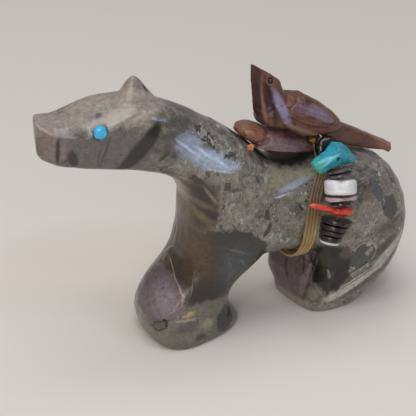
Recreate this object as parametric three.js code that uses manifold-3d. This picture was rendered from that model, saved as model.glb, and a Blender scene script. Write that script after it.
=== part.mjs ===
// Stone horse fetish: a carved horse on two blunt feet, with a tied bundle and a bead string.
// Millimetres, +Z up, the horse faces -X and its left flank is towards -Y.
import * as THREE from "three";
import { ConvexGeometry } from "three/addons/geometries/ConvexGeometry.js";
import { LoftGeometry } from "three/addons/geometries/LoftGeometry.js";
import { mergeVertices } from "three/addons/utils/BufferGeometryUtils.js";
import Module from "manifold-3d";

const wasm = await Module();
wasm.setup();

// Driving sizes of the horse: half of its width at the main sections.
const BARREL_HALF = 9;
const RUMP_HALF = 9.6;
const NECK_HALF = 6.6;
const HEAD_HALF = 6.1;
const MUZZLE_HALF = 2.7;
const TIP_HALF = 2;
const SOLE_HALF = 7.8;
const HIND_SOLE_HALF = 6.7;
const RING_POINTS = 28;
const STEPS_PER_STATION = 2;

// Inlays and cuts in the horse.
const EYE_RADIUS = 1.2;
const EYE_SIDES = 16;
const SOCKET_RADIUS = 1.35;
const EYES = {
  left: { place: [-22.4, -2.5, 47.2], axis: [-0.24, -0.96, -0.12] },
  right: { place: [-20.3, 9.6, 46.4], axis: [0.24, 0.96, -0.12] },
};
// The groove between the hind legs: a wedge whose inner edge rises from the toes to the belly.
const GROOVE_SIDE = -4.6;
const GROOVE_INNER = { foot: [19.2, 2], top: [22.6, 14] };
const GROOVE_MOUTH_X = 14;
const GROOVE_HALF = 3.4;
const EAR_PLACE = [-13.9, 2.2, 50.3];
const EAR_SIDES = 20;
const EAR_THICKNESS = 0.75;
const EAR_TURN = -10;
const EAR_PROFILE = [
  [0, -2.5],
  [5, -2.5],
  [4.6, -0.8],
  [3.5, 0.6],
  [2.4, 2.1],
  [1.5, 3.5],
  [0.7, 4.4],
  [0, 4.6],
];

// The horse's main body, from the muzzle over the back and round the rump to the hind feet. Each station is
// a cross-section between a point of the upper outline and one of the lower, seen from the side (x, z).
// side is how far the section sits to the right of the middle plane. turn and roll are in degrees. round is
// the power of its outline: 2 is an ellipse, 4 is nearly a box. blunt is that power for the lower half.
const BODY_STATIONS = [
  { top: [-31.9, 47.4], bottom: [-31.7, 41.4], half: TIP_HALF, side: 6.4, turn: 14, roll: 8, round: 3.2 },
  { top: [-31.4, 48.1], bottom: [-31.0, 40.4], half: MUZZLE_HALF, side: 6.2, turn: 14, roll: 8, round: 4 },
  { top: [-28.6, 47.3], bottom: [-28.4, 39.6], half: 4.2, side: 5.6, turn: 14, roll: 9, round: 4 },
  { top: [-26.0, 47.5], bottom: [-26.0, 39.7], half: 5.4, side: 5, turn: 14, roll: 10, round: 4 },
  { top: [-23.2, 48.6], bottom: [-23.4, 39.5], half: HEAD_HALF, side: 4.1, turn: 14, roll: 9, round: 4 },
  { top: [-20.6, 49.7], bottom: [-21.2, 39.0], half: HEAD_HALF, side: 3.4, turn: 13, roll: 7, round: 3.8 },
  { top: [-17.7, 50.3], bottom: [-18.8, 38.2], half: HEAD_HALF, side: 2.7, turn: 12, roll: 5, round: 3.4 },
  { top: [-14.4, 50.8], bottom: [-16.2, 37.4], half: 6, side: 1.9, turn: 10, roll: 3, round: 3 },
  { top: [-8.6, 49.1], bottom: [-13.4, 36.7], half: 6.3, side: 0.9, turn: 6, round: 2.6 },
  { top: [-2.4, 45.8], bottom: [-10.0, 35.5], half: NECK_HALF, side: 0.3, turn: 2, round: 2.5 },
  { top: [3.7, 41.4], bottom: [-6.8, 32.4], half: 7.4, round: 2.5 },
  { top: [7.5, 38.2], bottom: [-4.4, 26.5], half: 8.1, round: 2.4 },
  { top: [10.4, 35.4], bottom: [-1.0, 20], half: 8.6, round: 2.3 },
  { top: [12.7, 33.5], bottom: [4, 15.6], half: 8.8, round: 2.3 },
  { top: [15.7, 32.4], bottom: [8.6, 13.9], half: BARREL_HALF, round: 2.3 },
  { top: [19.4, 32.0], bottom: [12.8, 13.7], half: BARREL_HALF, round: 2.3 },
  { top: [25.0, 32.2], bottom: [16.6, 13.1], half: 9.2, turn: -2, round: 2.3 },
  { top: [30.8, 31.2], bottom: [18.8, 12.2], half: 9.4, turn: -5, round: 2.3, blunt: 2.6 },
  { top: [35.9, 29.1], bottom: [19.6, 11.4], half: RUMP_HALF, turn: -7, round: 2.4, blunt: 3 },
  { top: [39.3, 24.9], bottom: [19.8, 10.2], half: RUMP_HALF, turn: -10, round: 2.4, blunt: 3.4 },
  { top: [40.6, 18.4], bottom: [19.0, 8.4], half: 9.8, side: -0.1, turn: -13, round: 2.4, blunt: 3.8 },
  { top: [39.2, 11.4], bottom: [17.6, 6.4], half: 9.8, side: -0.3, turn: -15, round: 2.4, blunt: 4.2 },
  { top: [36.0, 6.0], bottom: [17.3, 4.4], half: 9.2, side: -0.4, turn: -15, round: 2.5, blunt: 4.2 },
  { top: [32.4, 2.4], bottom: [17.4, 2.6], half: 7.9, side: -0.8, turn: -12, round: 2.7, blunt: 4 },
  { top: [29.6, 0.6], bottom: [17.3, 1.1], half: 7.2, side: -1, turn: -12, round: 2.8, blunt: 4 },
  { top: [28.0, 0], bottom: [17.5, 0], half: HIND_SOLE_HALF, side: -1, turn: -12, round: 2.8, blunt: 4 },
];

// The chest, fore leg and fore foot, from inside the shoulder down to the sole: front is the foremost point
// of a section and back its rearmost one, and taper makes the back narrower than the front.
const LEG_STATIONS = [
  { front: [-5.2, 34], back: [5, 36], half: 6.6, round: 2.6, taper: 0 },
  { front: [-5.2, 30], back: [8, 31], half: 7.8, round: 2.6, taper: 0 },
  { front: [-5.5, 26], back: [10.5, 25], half: 8.6, round: 2.5, taper: 0 },
  { front: [-5.9, 21.5], back: [12, 19.2], half: 8.8, round: 2.5, taper: 0 },
  { front: [-7.0, 17], back: [10.2, 15.2], half: 8.6, round: 2.6, taper: 0 },
  { front: [-9.4, 13.3], back: [6.4, 12.4], half: 8.2, round: 2.6, taper: 0.05 },
  { front: [-12.4, 9.8], back: [3.9, 9], half: 8, round: 2.6, taper: 0.1 },
  { front: [-14.2, 6], back: [3.2, 5.4], half: 8.1, round: 2.7, taper: 0.15 },
  { front: [-14.1, 3], back: [4.6, 2.7], half: 8.3, round: 2.8, taper: 0.2 },
  { front: [-13.3, 0.9], back: [5.7, 0.8], half: 8.1, round: 2.8, taper: 0.25 },
  { front: [-12.7, 0], back: [5.0, 0], half: SOLE_HALF, round: 2.8, taper: 0.25 },
];

// The bird on the bundle: its neck and head from the beak down, its body with folded wings, and its flat
// tail. widest is how far up a section its greatest width is, from 0 at the bottom to 1 at the top.
const BIRD_NECK_STATIONS = [
  { top: [9.0, 53.4], bottom: [8.7, 53.1], half: 0.25, round: 1.8, blunt: 1.4, widest: 0.6 },
  { top: [10.5, 52.3], bottom: [8.7, 50.9], half: 0.8, round: 1.8, blunt: 1.2, widest: 0.65 },
  { top: [12.9, 50.6], bottom: [8.9, 48.4], half: 1.5, round: 1.8, blunt: 1.1, widest: 0.7 },
  { top: [14.8, 48.9], bottom: [9.1, 46.0], half: 2.0, round: 1.8, blunt: 1.1, widest: 0.7 },
  { top: [15.4, 47.0], bottom: [9.3, 43.8], half: 2.7, round: 1.8, blunt: 1.2, widest: 0.7 },
  { top: [16.8, 44.6], bottom: [10.2, 42.0], half: 3.1, round: 2, blunt: 1.6, widest: 0.7 },
];
const BIRD_BODY_STATIONS = [
  { top: [10.3, 43.2], bottom: [10.1, 41.3], half: 1.6, round: 2.4 },
  { top: [12.8, 46.1], bottom: [11.6, 40.4], half: 3.1, round: 2.4, blunt: 3.4 },
  { top: [16.8, 46.0], bottom: [15.2, 39.2], half: 4.0, round: 2.3, blunt: 3, widest: 0.4 },
  { top: [19.6, 45.3], bottom: [18.2, 38.2], half: 4.5, round: 2.1, blunt: 3.4, widest: 0.35 },
  { top: [23.4, 42.6], bottom: [21.8, 37.1], half: 4.5, round: 2, blunt: 3.4, widest: 0.35 },
  { top: [26.2, 40.1], bottom: [25.2, 36.5], half: 3.7, round: 2, blunt: 3, widest: 0.4 },
  { top: [27.1, 39.0], bottom: [26.6, 36.4], half: 2.9, round: 2, blunt: 3 },
];
const BIRD_TAIL_STATIONS = [
  { top: [24.4, 39.0], bottom: [24.0, 35.0], half: 2.0, round: 4 },
  { top: [28.4, 37.0], bottom: [27.6, 32.9], half: 1.8, round: 4 },
  { top: [31.4, 35.2], bottom: [30.4, 31.9], half: 1.8, round: 4 },
  { top: [35.2, 32.8], bottom: [34.2, 30.5], half: 1.8, round: 4 },
  { top: [38.4, 30.7], bottom: [37.6, 29.5], half: 1.6, round: 4, turn: 12 },
  { top: [39.9, 29.5], bottom: [39.1, 28.7], half: 1.6, round: 4, turn: 25 },
];
// The folded leg that shows as a slim ridge under each wing.
const BIRD_LEG_STATIONS = [
  { top: [13.4, 42.4], bottom: [13.2, 42], half: 0.3, round: 2 },
  { top: [15.6, 41.7], bottom: [15.1, 40.2], half: 0.9, round: 2 },
  { top: [18.3, 40], bottom: [17.7, 38.4], half: 0.9, round: 2 },
  { top: [21, 38.2], bottom: [20.8, 37.7], half: 0.3, round: 2 },
];
const BIRD_LEG_SIDE = 4.1;
const BIRD_SIDE = 0.2;
const BIRD_EYE_PLACE = [12.3, 49.7];
const BIRD_EYE_SIDE = 1.1;
const BIRD_EYE_RADIUS = 0.42;
const BIRD_SOCKET_RADIUS = 0.55;
const BIRD_EYE_SIDES = 10;
const BIRD_RING_POINTS = 20;

// The bundle stone under the bird: the round lobe in front, and the flaked blade, which has sharp sides,
// a keel below and a narrow rear end.
const LOBE_STATIONS = [
  { top: [5.8, 40.8], bottom: [5.9, 40], half: 1.4, round: 2 },
  { top: [6.6, 41.4], bottom: [6.9, 39], half: 2.7, round: 2.2 },
  { top: [7.9, 41.5], bottom: [8.3, 37.9], half: 3.4, round: 2.2 },
  { top: [9.6, 41.0], bottom: [9.8, 38.1], half: 3.6, round: 2.2 },
  { top: [11.4, 40.1], bottom: [11.4, 38.3], half: 2.6, round: 2.2 },
];
const BLADE_STATIONS = [
  { top: [8.5, 38.5], bottom: [8.7, 37.4], half: 3.8, round: 2.4 },
  { top: [9.8, 39.6], bottom: [9.8, 36.3], half: 4.3, round: 1.8, blunt: 1, widest: 0.3 },
  { top: [11.4, 40.1], bottom: [11.4, 34.9], half: 4.5, round: 1.9, blunt: 0.8, widest: 0.38 },
  { top: [13.4, 39.4], bottom: [13.4, 33.6], half: 4.7, round: 1.8, blunt: 0.8, widest: 0.47 },
  { top: [16.2, 38.5], bottom: [16.2, 32.8], half: 4.7, round: 1.7, blunt: 0.8, widest: 0.5 },
  { top: [19.3, 37.2], bottom: [19.3, 32.5], half: 3.8, round: 1.7, blunt: 1, widest: 0.5 },
  { top: [21.6, 35.3], bottom: [21.6, 32.4], half: 1.9, round: 1.8 },
  { top: [23.4, 34.6], bottom: [23.4, 32.7], half: 1.6, round: 2 },
  { top: [25, 34.0], bottom: [25, 33.3], half: 1, round: 2 },
];
const ARROW_RING_POINTS = 16;

// Small orange chips at the two ends of the bundle stone: place and half sizes.
const CHIPS = {
  chip_front: { place: [6.2, -5.4, 39.3], half: [0.65, 0.5, 0.6] },
  chip_back: { place: [20.6, -2.8, 36.45], half: [0.5, 0.55, 0.45] },
};

// The sinew wound round the barrel and over the bundle stone: half of one turn, from its highest point down
// the left side to the belly, as [x, y, z]. The pitch is the distance between two turns.
const SINEW_RADIUS = 0.28;
const SINEW_TURNS = 4;
const SINEW_SIDES = 6;
const SINEW_TOP_PITCH = 0.6;
const SINEW_BELLY_PITCH = 0.75;
const SINEW_TOP_SLOPE = 0.3;
const SINEW_HALF_TURN = [
  [22.3, 0, 35.95],
  [22.2, -2.0, 35.3],
  [22.1, -3.0, 33.8],
  [22.0, -3.5, 32.5],
  [21.8, -4.25, 31.95],
  [21.4, -5.3, 31.35],
  [20.8, -6.4, 30.6],
  [19.8, -7.4, 29.7],
  [19.0, -8.2, 28.6],
  [18.3, -8.85, 27.2],
  [17.8, -9.25, 25.8],
  [17.5, -9.5, 24.2],
  [17.3, -9.6, 22.4],
  [17.1, -9.45, 20.6],
  [17.1, -9.05, 18.9],
  [17.1, -8.4, 17.2],
  [17.0, -7.3, 15.3],
  [16.9, -5.4, 13.3],
  [16.7, -3.0, 12.3],
  [16.5, 0, 12.1],
];

// The bead string on the left flank: the thread passes through these places in turn, and carries a bead at
// some of them. length is along the thread, and rim is how much the bead's edges are rounded.
const THREAD_RADIUS = 0.2;
const BORE_RADIUS = 0.5;
const BEAD_SIDES = 16;
const CHUNK_RING_POINTS = 10;
const DISC_AXIS = [-0.05, 0.43, 0.9];
const STACK_TOP_AXIS = [0.12, 0.38, 0.92];
const STACK_AXIS = [0.3, 0.2, 0.93];
const STRING = [
  { place: [22.9, -3.2, 34.5] },
  { place: [22.9, -4.4, 34.9], bead: "jet_bead", radius: 2.4, length: 2.4, rim: 0.8 },
  { place: [23.0, -6.3, 36.1] },
  { place: [22.8, -8.0, 35.8] },
  { place: [22.7, -9.8, 34.8] },
  { place: [22.7, -10.7, 33.4], bead: "shell_disc_1", radius: 2.9, length: 0.5, axis: DISC_AXIS },
  { place: [22.2, -11.2, 32.65], bead: "shell_disc_2", radius: 2.3, length: 0.6, axis: DISC_AXIS },
  { place: [21.8, -12.1, 30.6], bead: "white_bead", radius: 3.1, length: 2.9, rim: 0.6 },
  { place: [21.5, -12.9, 28.6], bead: "pink_disc", radius: 3, length: 0.8, axis: STACK_TOP_AXIS },
  { place: [21.4, -13.3, 27.7], bead: "black_disc", radius: 2.2, length: 0.5, axis: STACK_TOP_AXIS },
  { place: [20.9, -13.6, 26.1] },
  { place: [20.3, -13.8, 24.45], bead: "heishi_1", radius: 3.1, length: 0.95, axis: STACK_AXIS },
  { place: [19.8, -13.9, 23.4], bead: "heishi_2", radius: 2.9, length: 0.95, axis: STACK_AXIS },
  { place: [19.4, -14.0, 22.35], bead: "heishi_3", radius: 2.6, length: 0.95, axis: STACK_AXIS },
  { place: [19.0, -14.1, 21.3], bead: "heishi_4", radius: 2.3, length: 0.95, axis: STACK_AXIS },
  { place: [18.7, -14.2, 20.45], bead: "end_disc", radius: 1.9, length: 0.5, axis: STACK_AXIS },
  { place: [18.5, -14.2, 19.95] },
];

// The two beads that aren't turned, as sections along their length, and the bore of each.
const NUGGET_BORE = { place: [22.75, -9.1, 35.15], axis: [0, 0.89, 0.46] };
const NUGGET_STATIONS = [
  { top: [17.1, 35.2], bottom: [17.6, 33.9], half: 0.9, round: 3, side: -9.2 },
  { top: [18.0, 35.9], bottom: [18.5, 32.8], half: 1.5, round: 3, side: -9.2 },
  { top: [20.4, 36.6], bottom: [20.6, 33.8], half: 1.8, round: 4, side: -9.1 },
  { top: [22.0, 38.2], bottom: [22.4, 34.2], half: 2.0, round: 5, side: -9.1 },
  { top: [24.0, 37.6], bottom: [24.6, 34.0], half: 2.0, round: 5, side: -9.1 },
  { top: [25.8, 35.3], bottom: [26.1, 34.1], half: 1.4, round: 4, side: -9.1 },
];
const CORAL_BORE = { place: [20.9, -13.6, 26.1], axis: [0.3, 0.1, 0.95] };
const CORAL_STATIONS = [
  { top: [14.6, 29.1], bottom: [14.8, 28.5], half: 0.3, round: 2, side: -13.4 },
  { top: [15.5, 29.3], bottom: [15.8, 27.9], half: 0.7, round: 2, side: -13.4 },
  { top: [17.6, 28.5], bottom: [17.9, 27.0], half: 0.8, round: 2, side: -13.5 },
  { top: [19.8, 27.3], bottom: [20.0, 25.6], half: 1, round: 2, side: -13.6 },
  { top: [22.1, 27.1], bottom: [21.8, 24.9], half: 1.2, round: 2, side: -13.6 },
  { top: [23.5, 26.5], bottom: [23.3, 25.0], half: 0.8, round: 2, side: -13.7 },
];

/** Closed solid of a geometry, for joins and cuts. */
function solidOf(geometry) {
  const bare = new THREE.BufferGeometry();
  bare.setAttribute("position", geometry.getAttribute("position"));
  if (geometry.index) bare.setIndex(geometry.index);
  const merged = mergeVertices(bare, 1e-4);
  return new wasm.Manifold(
    new wasm.Mesh({
      numProp: 3,
      vertProperties: new Float32Array(merged.attributes.position.array),
      triVerts: new Uint32Array(merged.index.array),
    }),
  );
}

/** Drawable geometry of a joined or cut solid. */
function geometryOf(solid) {
  const mesh = solid.getMesh();
  const geometry = new THREE.BufferGeometry();
  geometry.setAttribute("position", new THREE.BufferAttribute(mesh.vertProperties, 3));
  geometry.setIndex(new THREE.BufferAttribute(mesh.triVerts, 1));
  geometry.computeVertexNormals();
  return geometry;
}

/** Value of a smooth curve through b and c at t from 0 to 1, with a and d as its neighbours. */
function catmull(a, b, c, d, t) {
  const slopeB = (c - a) / 2;
  const slopeC = (d - b) / 2;
  const cubic = 2 * (b - c) + slopeB + slopeC;
  const square = 3 * (c - b) - 2 * slopeB - slopeC;
  return ((cubic * t + square) * t + slopeB) * t + b;
}

/** The station at a place along a list of stations: 2.5 is half way from the third to the fourth. */
function stationAt(stations, place) {
  const last = stations.length - 1;
  const first = Math.min(Math.floor(place), last - 1);
  const near = [-1, 0, 1, 2].map((step) => stations[THREE.MathUtils.clamp(first + step, 0, last)]);
  const blend = (value) => catmull(...near.map(value), place - first);
  const station = {
    top: [0, 1].map((k) => blend((s) => s.top[k])),
    bottom: [0, 1].map((k) => blend((s) => s.bottom[k])),
  };
  for (const key of ["half", "side", "turn", "roll", "round", "flare"]) {
    station[key] = blend((s) => s[key] ?? 0);
  }
  station.blunt = blend((s) => s.blunt ?? s.round);
  station.widest = blend((s) => s.widest ?? 0.5);
  return station;
}

/** A leg's station as one of the body's kind: its back takes the place of the top. */
function upright(station) {
  const { front, back, half, round, taper } = station;
  return { top: back, bottom: front, half, round, side: 0, turn: 0, roll: 0, flare: -taper };
}

/** Ring of points round a station. */
function ringOf(station, points) {
  const top = new THREE.Vector3(station.top[0], station.side, station.top[1]);
  const bottom = new THREE.Vector3(station.bottom[0], station.side, station.bottom[1]);
  const middle = bottom.clone().lerp(top, station.widest);
  const above = top.clone().sub(middle);
  const below = middle.clone().sub(bottom);
  const turn = THREE.MathUtils.degToRad(station.turn);
  const roll = THREE.MathUtils.degToRad(station.roll);
  const level = Math.cos(roll);
  const across = new THREE.Vector3(Math.sin(turn) * level, Math.cos(turn) * level, Math.sin(roll));
  const ring = [];
  for (let i = 0; i < points; i += 1) {
    const angle = (i / points) * 2 * Math.PI;
    const power = 2 / (Math.sin(angle) < 0 ? station.blunt : station.round);
    const c = Math.sign(Math.cos(angle)) * Math.abs(Math.cos(angle)) ** power;
    const s = Math.sign(Math.sin(angle)) * Math.abs(Math.sin(angle)) ** power;
    const width = station.half * (1 + station.flare * s);
    ring.push(middle.clone().addScaledVector(across, width * c).addScaledVector(s < 0 ? below : above, s));
  }
  return ring;
}

/** Closed loft through a list of stations. */
function loftOf(stations, points = RING_POINTS, stepsPerStation = STEPS_PER_STATION) {
  const rings = [];
  const steps = (stations.length - 1) * stepsPerStation;
  for (let i = 0; i <= steps; i += 1) rings.push(ringOf(stationAt(stations, i / stepsPerStation), points));
  return new LoftGeometry(rings, { capStart: true, capEnd: true });
}

/** A round tube along a closed curve through a list of points. */
function closedTube(points, radius, sides) {
  const curve = new THREE.CatmullRomCurve3(points, true, "centripetal");
  const count = points.length;
  const frames = curve.computeFrenetFrames(count, true);
  const rings = [];
  for (let i = 0; i <= count; i += 1) {
    const step = i % count;
    const centre = curve.getPointAt(step / count);
    const ring = [];
    for (let k = 0; k < sides; k += 1) {
      const angle = (k / sides) * 2 * Math.PI;
      ring.push(
        centre
          .clone()
          .addScaledVector(frames.normals[step], radius * Math.cos(angle))
          .addScaledVector(frames.binormals[step], radius * Math.sin(angle)),
      );
    }
    rings.push(ring);
  }
  return new LoftGeometry(rings);
}

/** A lathe from its profile of [radius, height] points, with its axis turned to a direction. */
function turnedLathe(profile, sides, direction, place) {
  const geometry = new THREE.LatheGeometry(profile.map(([r, z]) => new THREE.Vector2(r, z)), sides);
  const turn = new THREE.Quaternion();
  turn.setFromUnitVectors(new THREE.Vector3(0, 1, 0), direction.clone().normalize());
  geometry.applyQuaternion(turn);
  geometry.translate(...place.toArray());
  return geometry;
}

/** Mesh of one named sub-part. */
function piece(name, geometry, material) {
  const mesh = new THREE.Mesh(geometry, material);
  mesh.name = name;
  return mesh;
}

/** Adds the fields that a plain two-outline station leaves out. */
function plainStation(side) {
  return (station) => ({ side, turn: 0, roll: 0, ...station });
}

/** The pointed crest between the ears: a concave cone, thinner across the head than along it. */
function earCrest() {
  const crest = turnedLathe(EAR_PROFILE, EAR_SIDES, new THREE.Vector3(0, 0, 1), new THREE.Vector3());
  crest.scale(1, EAR_THICKNESS, 1);
  crest.rotateZ(THREE.MathUtils.degToRad(EAR_TURN));
  crest.translate(...EAR_PLACE);
  return crest;
}

/** The wedge that parts the two hind legs at the front. */
function legGroove() {
  const corners = [];
  for (const [x, z] of [GROOVE_INNER.foot, GROOVE_INNER.top]) {
    corners.push(new THREE.Vector3(x, GROOVE_SIDE, z));
    for (const out of [-GROOVE_HALF, GROOVE_HALF]) {
      corners.push(new THREE.Vector3(GROOVE_MOUTH_X, GROOVE_SIDE + out, z));
    }
  }
  return new ConvexGeometry(corners);
}

/** A lathe on an eye's axis, from its middle outwards. */
function eyeLathe(profile, side) {
  const { place, axis } = EYES[side];
  return turnedLathe(profile, EYE_SIDES, new THREE.Vector3(...axis), new THREE.Vector3(...place));
}

/** The hole that an eye sits in. */
function eyeSocket(side) {
  return eyeLathe([[0, -1.2], [SOCKET_RADIUS, -1.2], [SOCKET_RADIUS, 3], [0, 3]], side);
}

/** A domed turquoise eye, set in its socket with a small gap. */
function eye(side) {
  const profile = [[0, -0.9], [EYE_RADIUS, -0.9], [EYE_RADIUS, 0.2], [0.9, 0.5], [0.5, 0.65], [0, 0.7]];
  return piece(`eye_${side}`, eyeLathe(profile, side), TURQUOISE);
}

/** The horse: body and leg lofts and ear crest joined, hind legs parted, eye sockets cut. */
function horse() {
  let solid = solidOf(loftOf(BODY_STATIONS.map(plainStation(0))));
  solid = solid.add(solidOf(loftOf(LEG_STATIONS.map(upright))));
  solid = solid.add(solidOf(earCrest()));
  solid = solid.subtract(solidOf(legGroove()));
  for (const side of ["left", "right"]) solid = solid.subtract(solidOf(eyeSocket(side)));
  return piece("horse", geometryOf(solid), BRECCIA);
}

/** Place of a bird's eye on the side of its head, at a depth below the surface. */
function birdEyeLathe(profile, side) {
  const out = side === "left" ? -1 : 1;
  const [x, z] = BIRD_EYE_PLACE;
  const place = new THREE.Vector3(x, BIRD_SIDE + out * BIRD_EYE_SIDE, z);
  return turnedLathe(profile, BIRD_EYE_SIDES, new THREE.Vector3(0.1, out, 0.35), place);
}

/** A bird's eye: a small black bead let into the side of its head. */
function birdEye(side) {
  const profile = [[0, -0.3], [BIRD_EYE_RADIUS, -0.3], [BIRD_EYE_RADIUS, 0.3], [0, 0.5]];
  return piece(`bird_eye_${side}`, birdEyeLathe(profile, side), JET);
}

/** The hole that a bird's eye sits in. */
function birdSocket(side) {
  return birdEyeLathe([[0, -0.5], [BIRD_SOCKET_RADIUS, -0.5], [BIRD_SOCKET_RADIUS, 2], [0, 2]], side);
}

/** The carved bird: neck, body, tail and folded legs joined, with sockets for its eyes. */
function bird() {
  const loftAt = (stations, side) => solidOf(loftOf(stations.map(plainStation(side)), BIRD_RING_POINTS, 1));
  let solid = loftAt(BIRD_NECK_STATIONS, BIRD_SIDE);
  solid = solid.add(loftAt(BIRD_BODY_STATIONS, BIRD_SIDE));
  solid = solid.add(loftAt(BIRD_TAIL_STATIONS, BIRD_SIDE));
  for (const out of [-BIRD_LEG_SIDE, BIRD_LEG_SIDE]) {
    solid = solid.add(loftAt(BIRD_LEG_STATIONS, BIRD_SIDE + out));
  }
  for (const side of ["left", "right"]) solid = solid.subtract(solidOf(birdSocket(side)));
  return piece("bird", geometryOf(solid), PIPESTONE);
}

/** The bundle stone: its lobe and its blade joined. */
function arrow() {
  const lobe = solidOf(loftOf(LOBE_STATIONS.map(plainStation(0)), ARROW_RING_POINTS, 1));
  const blade = solidOf(loftOf(BLADE_STATIONS.map(plainStation(0)), ARROW_RING_POINTS, 1));
  return piece("arrowhead_stone", geometryOf(lobe.add(blade)), RED_STONE);
}

/** An angular chip with its corners on a box of given half sizes. */
function chip(name) {
  const { place, half } = CHIPS[name];
  const corners = [];
  for (const x of [-1, 1]) {
    for (const y of [-0.7, 1]) {
      for (const z of [-1, 0.8]) {
        const taper = 1 - 0.3 * z * y;
        corners.push(new THREE.Vector3(x * half[0] * taper, y * half[1], z * half[2]));
      }
    }
  }
  const geometry = new ConvexGeometry(corners);
  geometry.translate(...place);
  return piece(name, geometry, AMBER);
}

/** One turn of sinew: its half turn on the left side, and the same mirrored on the right. */
function sinewTurn(index) {
  const fromMiddle = index - (SINEW_TURNS - 1) / 2;
  const left = SINEW_HALF_TURN.map(([x, y, z], step) => {
    const share = step / (SINEW_HALF_TURN.length - 1);
    const pitch = THREE.MathUtils.lerp(SINEW_TOP_PITCH, SINEW_BELLY_PITCH, share);
    const drop = fromMiddle * pitch * SINEW_TOP_SLOPE * (1 - share) ** 3;
    return new THREE.Vector3(x + fromMiddle * pitch, y, z - drop);
  });
  const right = left.slice(1, -1).reverse().map((p) => new THREE.Vector3(p.x, -p.y, p.z));
  const tube = closedTube([...left, ...right], SINEW_RADIUS, SINEW_SIDES);
  return piece(`sinew_${index + 1}`, tube, SINEW);
}

const threadCurve = new THREE.CatmullRomCurve3(STRING.map(({ place }) => new THREE.Vector3(...place)));

/** The thread that carries the beads. */
function thread() {
  const section = new THREE.Shape();
  section.absarc(0, 0, THREAD_RADIUS, 0, 2 * Math.PI);
  const options = { steps: 2 * STRING.length, curveSegments: 2, extrudePath: threadCurve };
  const geometry = new THREE.ExtrudeGeometry(section, options);
  return piece("bead_thread", geometry, SINEW);
}

/** A bored bead at its place on the thread, square to the thread or to an axis of its own. */
function bead({ bead: name, radius, length, rim = 0, axis }, index) {
  const half = length / 2;
  const outer = rim
    ? [[radius - rim, -half], [radius, -half + rim], [radius, half - rim], [radius - rim, half]]
    : [[radius, -half], [radius, half]];
  const profile = [[BORE_RADIUS, -half], ...outer, [BORE_RADIUS, half], [BORE_RADIUS, -half]];
  const at = index / (STRING.length - 1);
  const direction = axis ? new THREE.Vector3(...axis) : threadCurve.getTangent(at).negate();
  const geometry = turnedLathe(profile, BEAD_SIDES, direction, threadCurve.getPoint(at));
  return piece(name, geometry, BEAD_STONES[name]);
}

/** The turquoise nugget: an uneven tumbled chunk, bored for the thread. */
function nugget() {
  const chunk = solidOf(loftOf(NUGGET_STATIONS.map(plainStation(0)), CHUNK_RING_POINTS, 1));
  return piece("turquoise_nugget", geometryOf(chunk.subtract(solidOf(threadBore(NUGGET_BORE)))), TURQUOISE);
}

/** The coral branch piece, thick at its rear end, bored for the thread. */
function coralBranch() {
  const branch = solidOf(loftOf(CORAL_STATIONS.map(plainStation(0)), CHUNK_RING_POINTS, 1));
  return piece("coral_branch", geometryOf(branch.subtract(solidOf(threadBore(CORAL_BORE)))), CORAL);
}

/** Straight hole for the thread. */
function threadBore({ place, axis }) {
  const profile = [[0, -5], [BORE_RADIUS, -5], [BORE_RADIUS, 5], [0, 5]];
  return turnedLathe(profile, 12, new THREE.Vector3(...axis), new THREE.Vector3(...place));
}

/** A stone or other plain material of a colour and a roughness. */
function stone(color, roughness) {
  return new THREE.MeshStandardMaterial({ color, roughness, metalness: 0 });
}

const BRECCIA = stone(0x7a766c, 0.3);
const TURQUOISE = stone(0x2fa5b5, 0.35);
const PIPESTONE = stone(0x6b4a42, 0.3);
const RED_STONE = stone(0x6e4636, 0.35);
const JET = stone(0x17151a, 0.2);
const AMBER = stone(0xd9773a, 0.4);
const SINEW = stone(0x8a6a3c, 0.55);
const SHELL = stone(0xe4ddd4, 0.3);
const MUSSEL = stone(0x7d7568, 0.35);
const PINK_SHELL = stone(0xb09a94, 0.35);
const CORAL = stone(0xc8452f, 0.35);
const HEISHI = stone(0x2b2120, 0.4);
const BEAD_STONES = {
  jet_bead: JET,
  shell_disc_1: MUSSEL,
  shell_disc_2: MUSSEL,
  white_bead: SHELL,
  pink_disc: PINK_SHELL,
  black_disc: JET,
  heishi_1: HEISHI,
  heishi_2: HEISHI,
  heishi_3: HEISHI,
  heishi_4: HEISHI,
  end_disc: SHELL,
};

const group = new THREE.Group();
group.add(horse(), eye("left"), eye("right"), bird(), birdEye("left"), birdEye("right"), arrow());
group.add(...Object.keys(CHIPS).map(chip));
for (let i = 0; i < SINEW_TURNS; i += 1) group.add(sinewTurn(i));
group.add(thread());
group.add(nugget(), coralBranch());
STRING.forEach((stop, index) => {
  if (stop.bead) group.add(bead(stop, index));
});

// The origin is the middle of the footprint's box, on the ground.
const box = new THREE.Box3().setFromObject(group);
const centre = box.getCenter(new THREE.Vector3());
group.position.set(-centre.x, -centre.y, -box.min.z);

export default group;
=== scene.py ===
"""Carved stone horse with a bundle on its back and a bead string on its flank.

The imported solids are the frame. Each piece here stands in the place of one of them, finer and dressed.
Sizes are written in millimetres and turned into metres where a mesh or a pattern needs them.
"""
import logging
import math
from collections.abc import Callable
from dataclasses import dataclass, replace
from enum import Enum

import bmesh
import bpy
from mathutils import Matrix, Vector, noise


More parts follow.
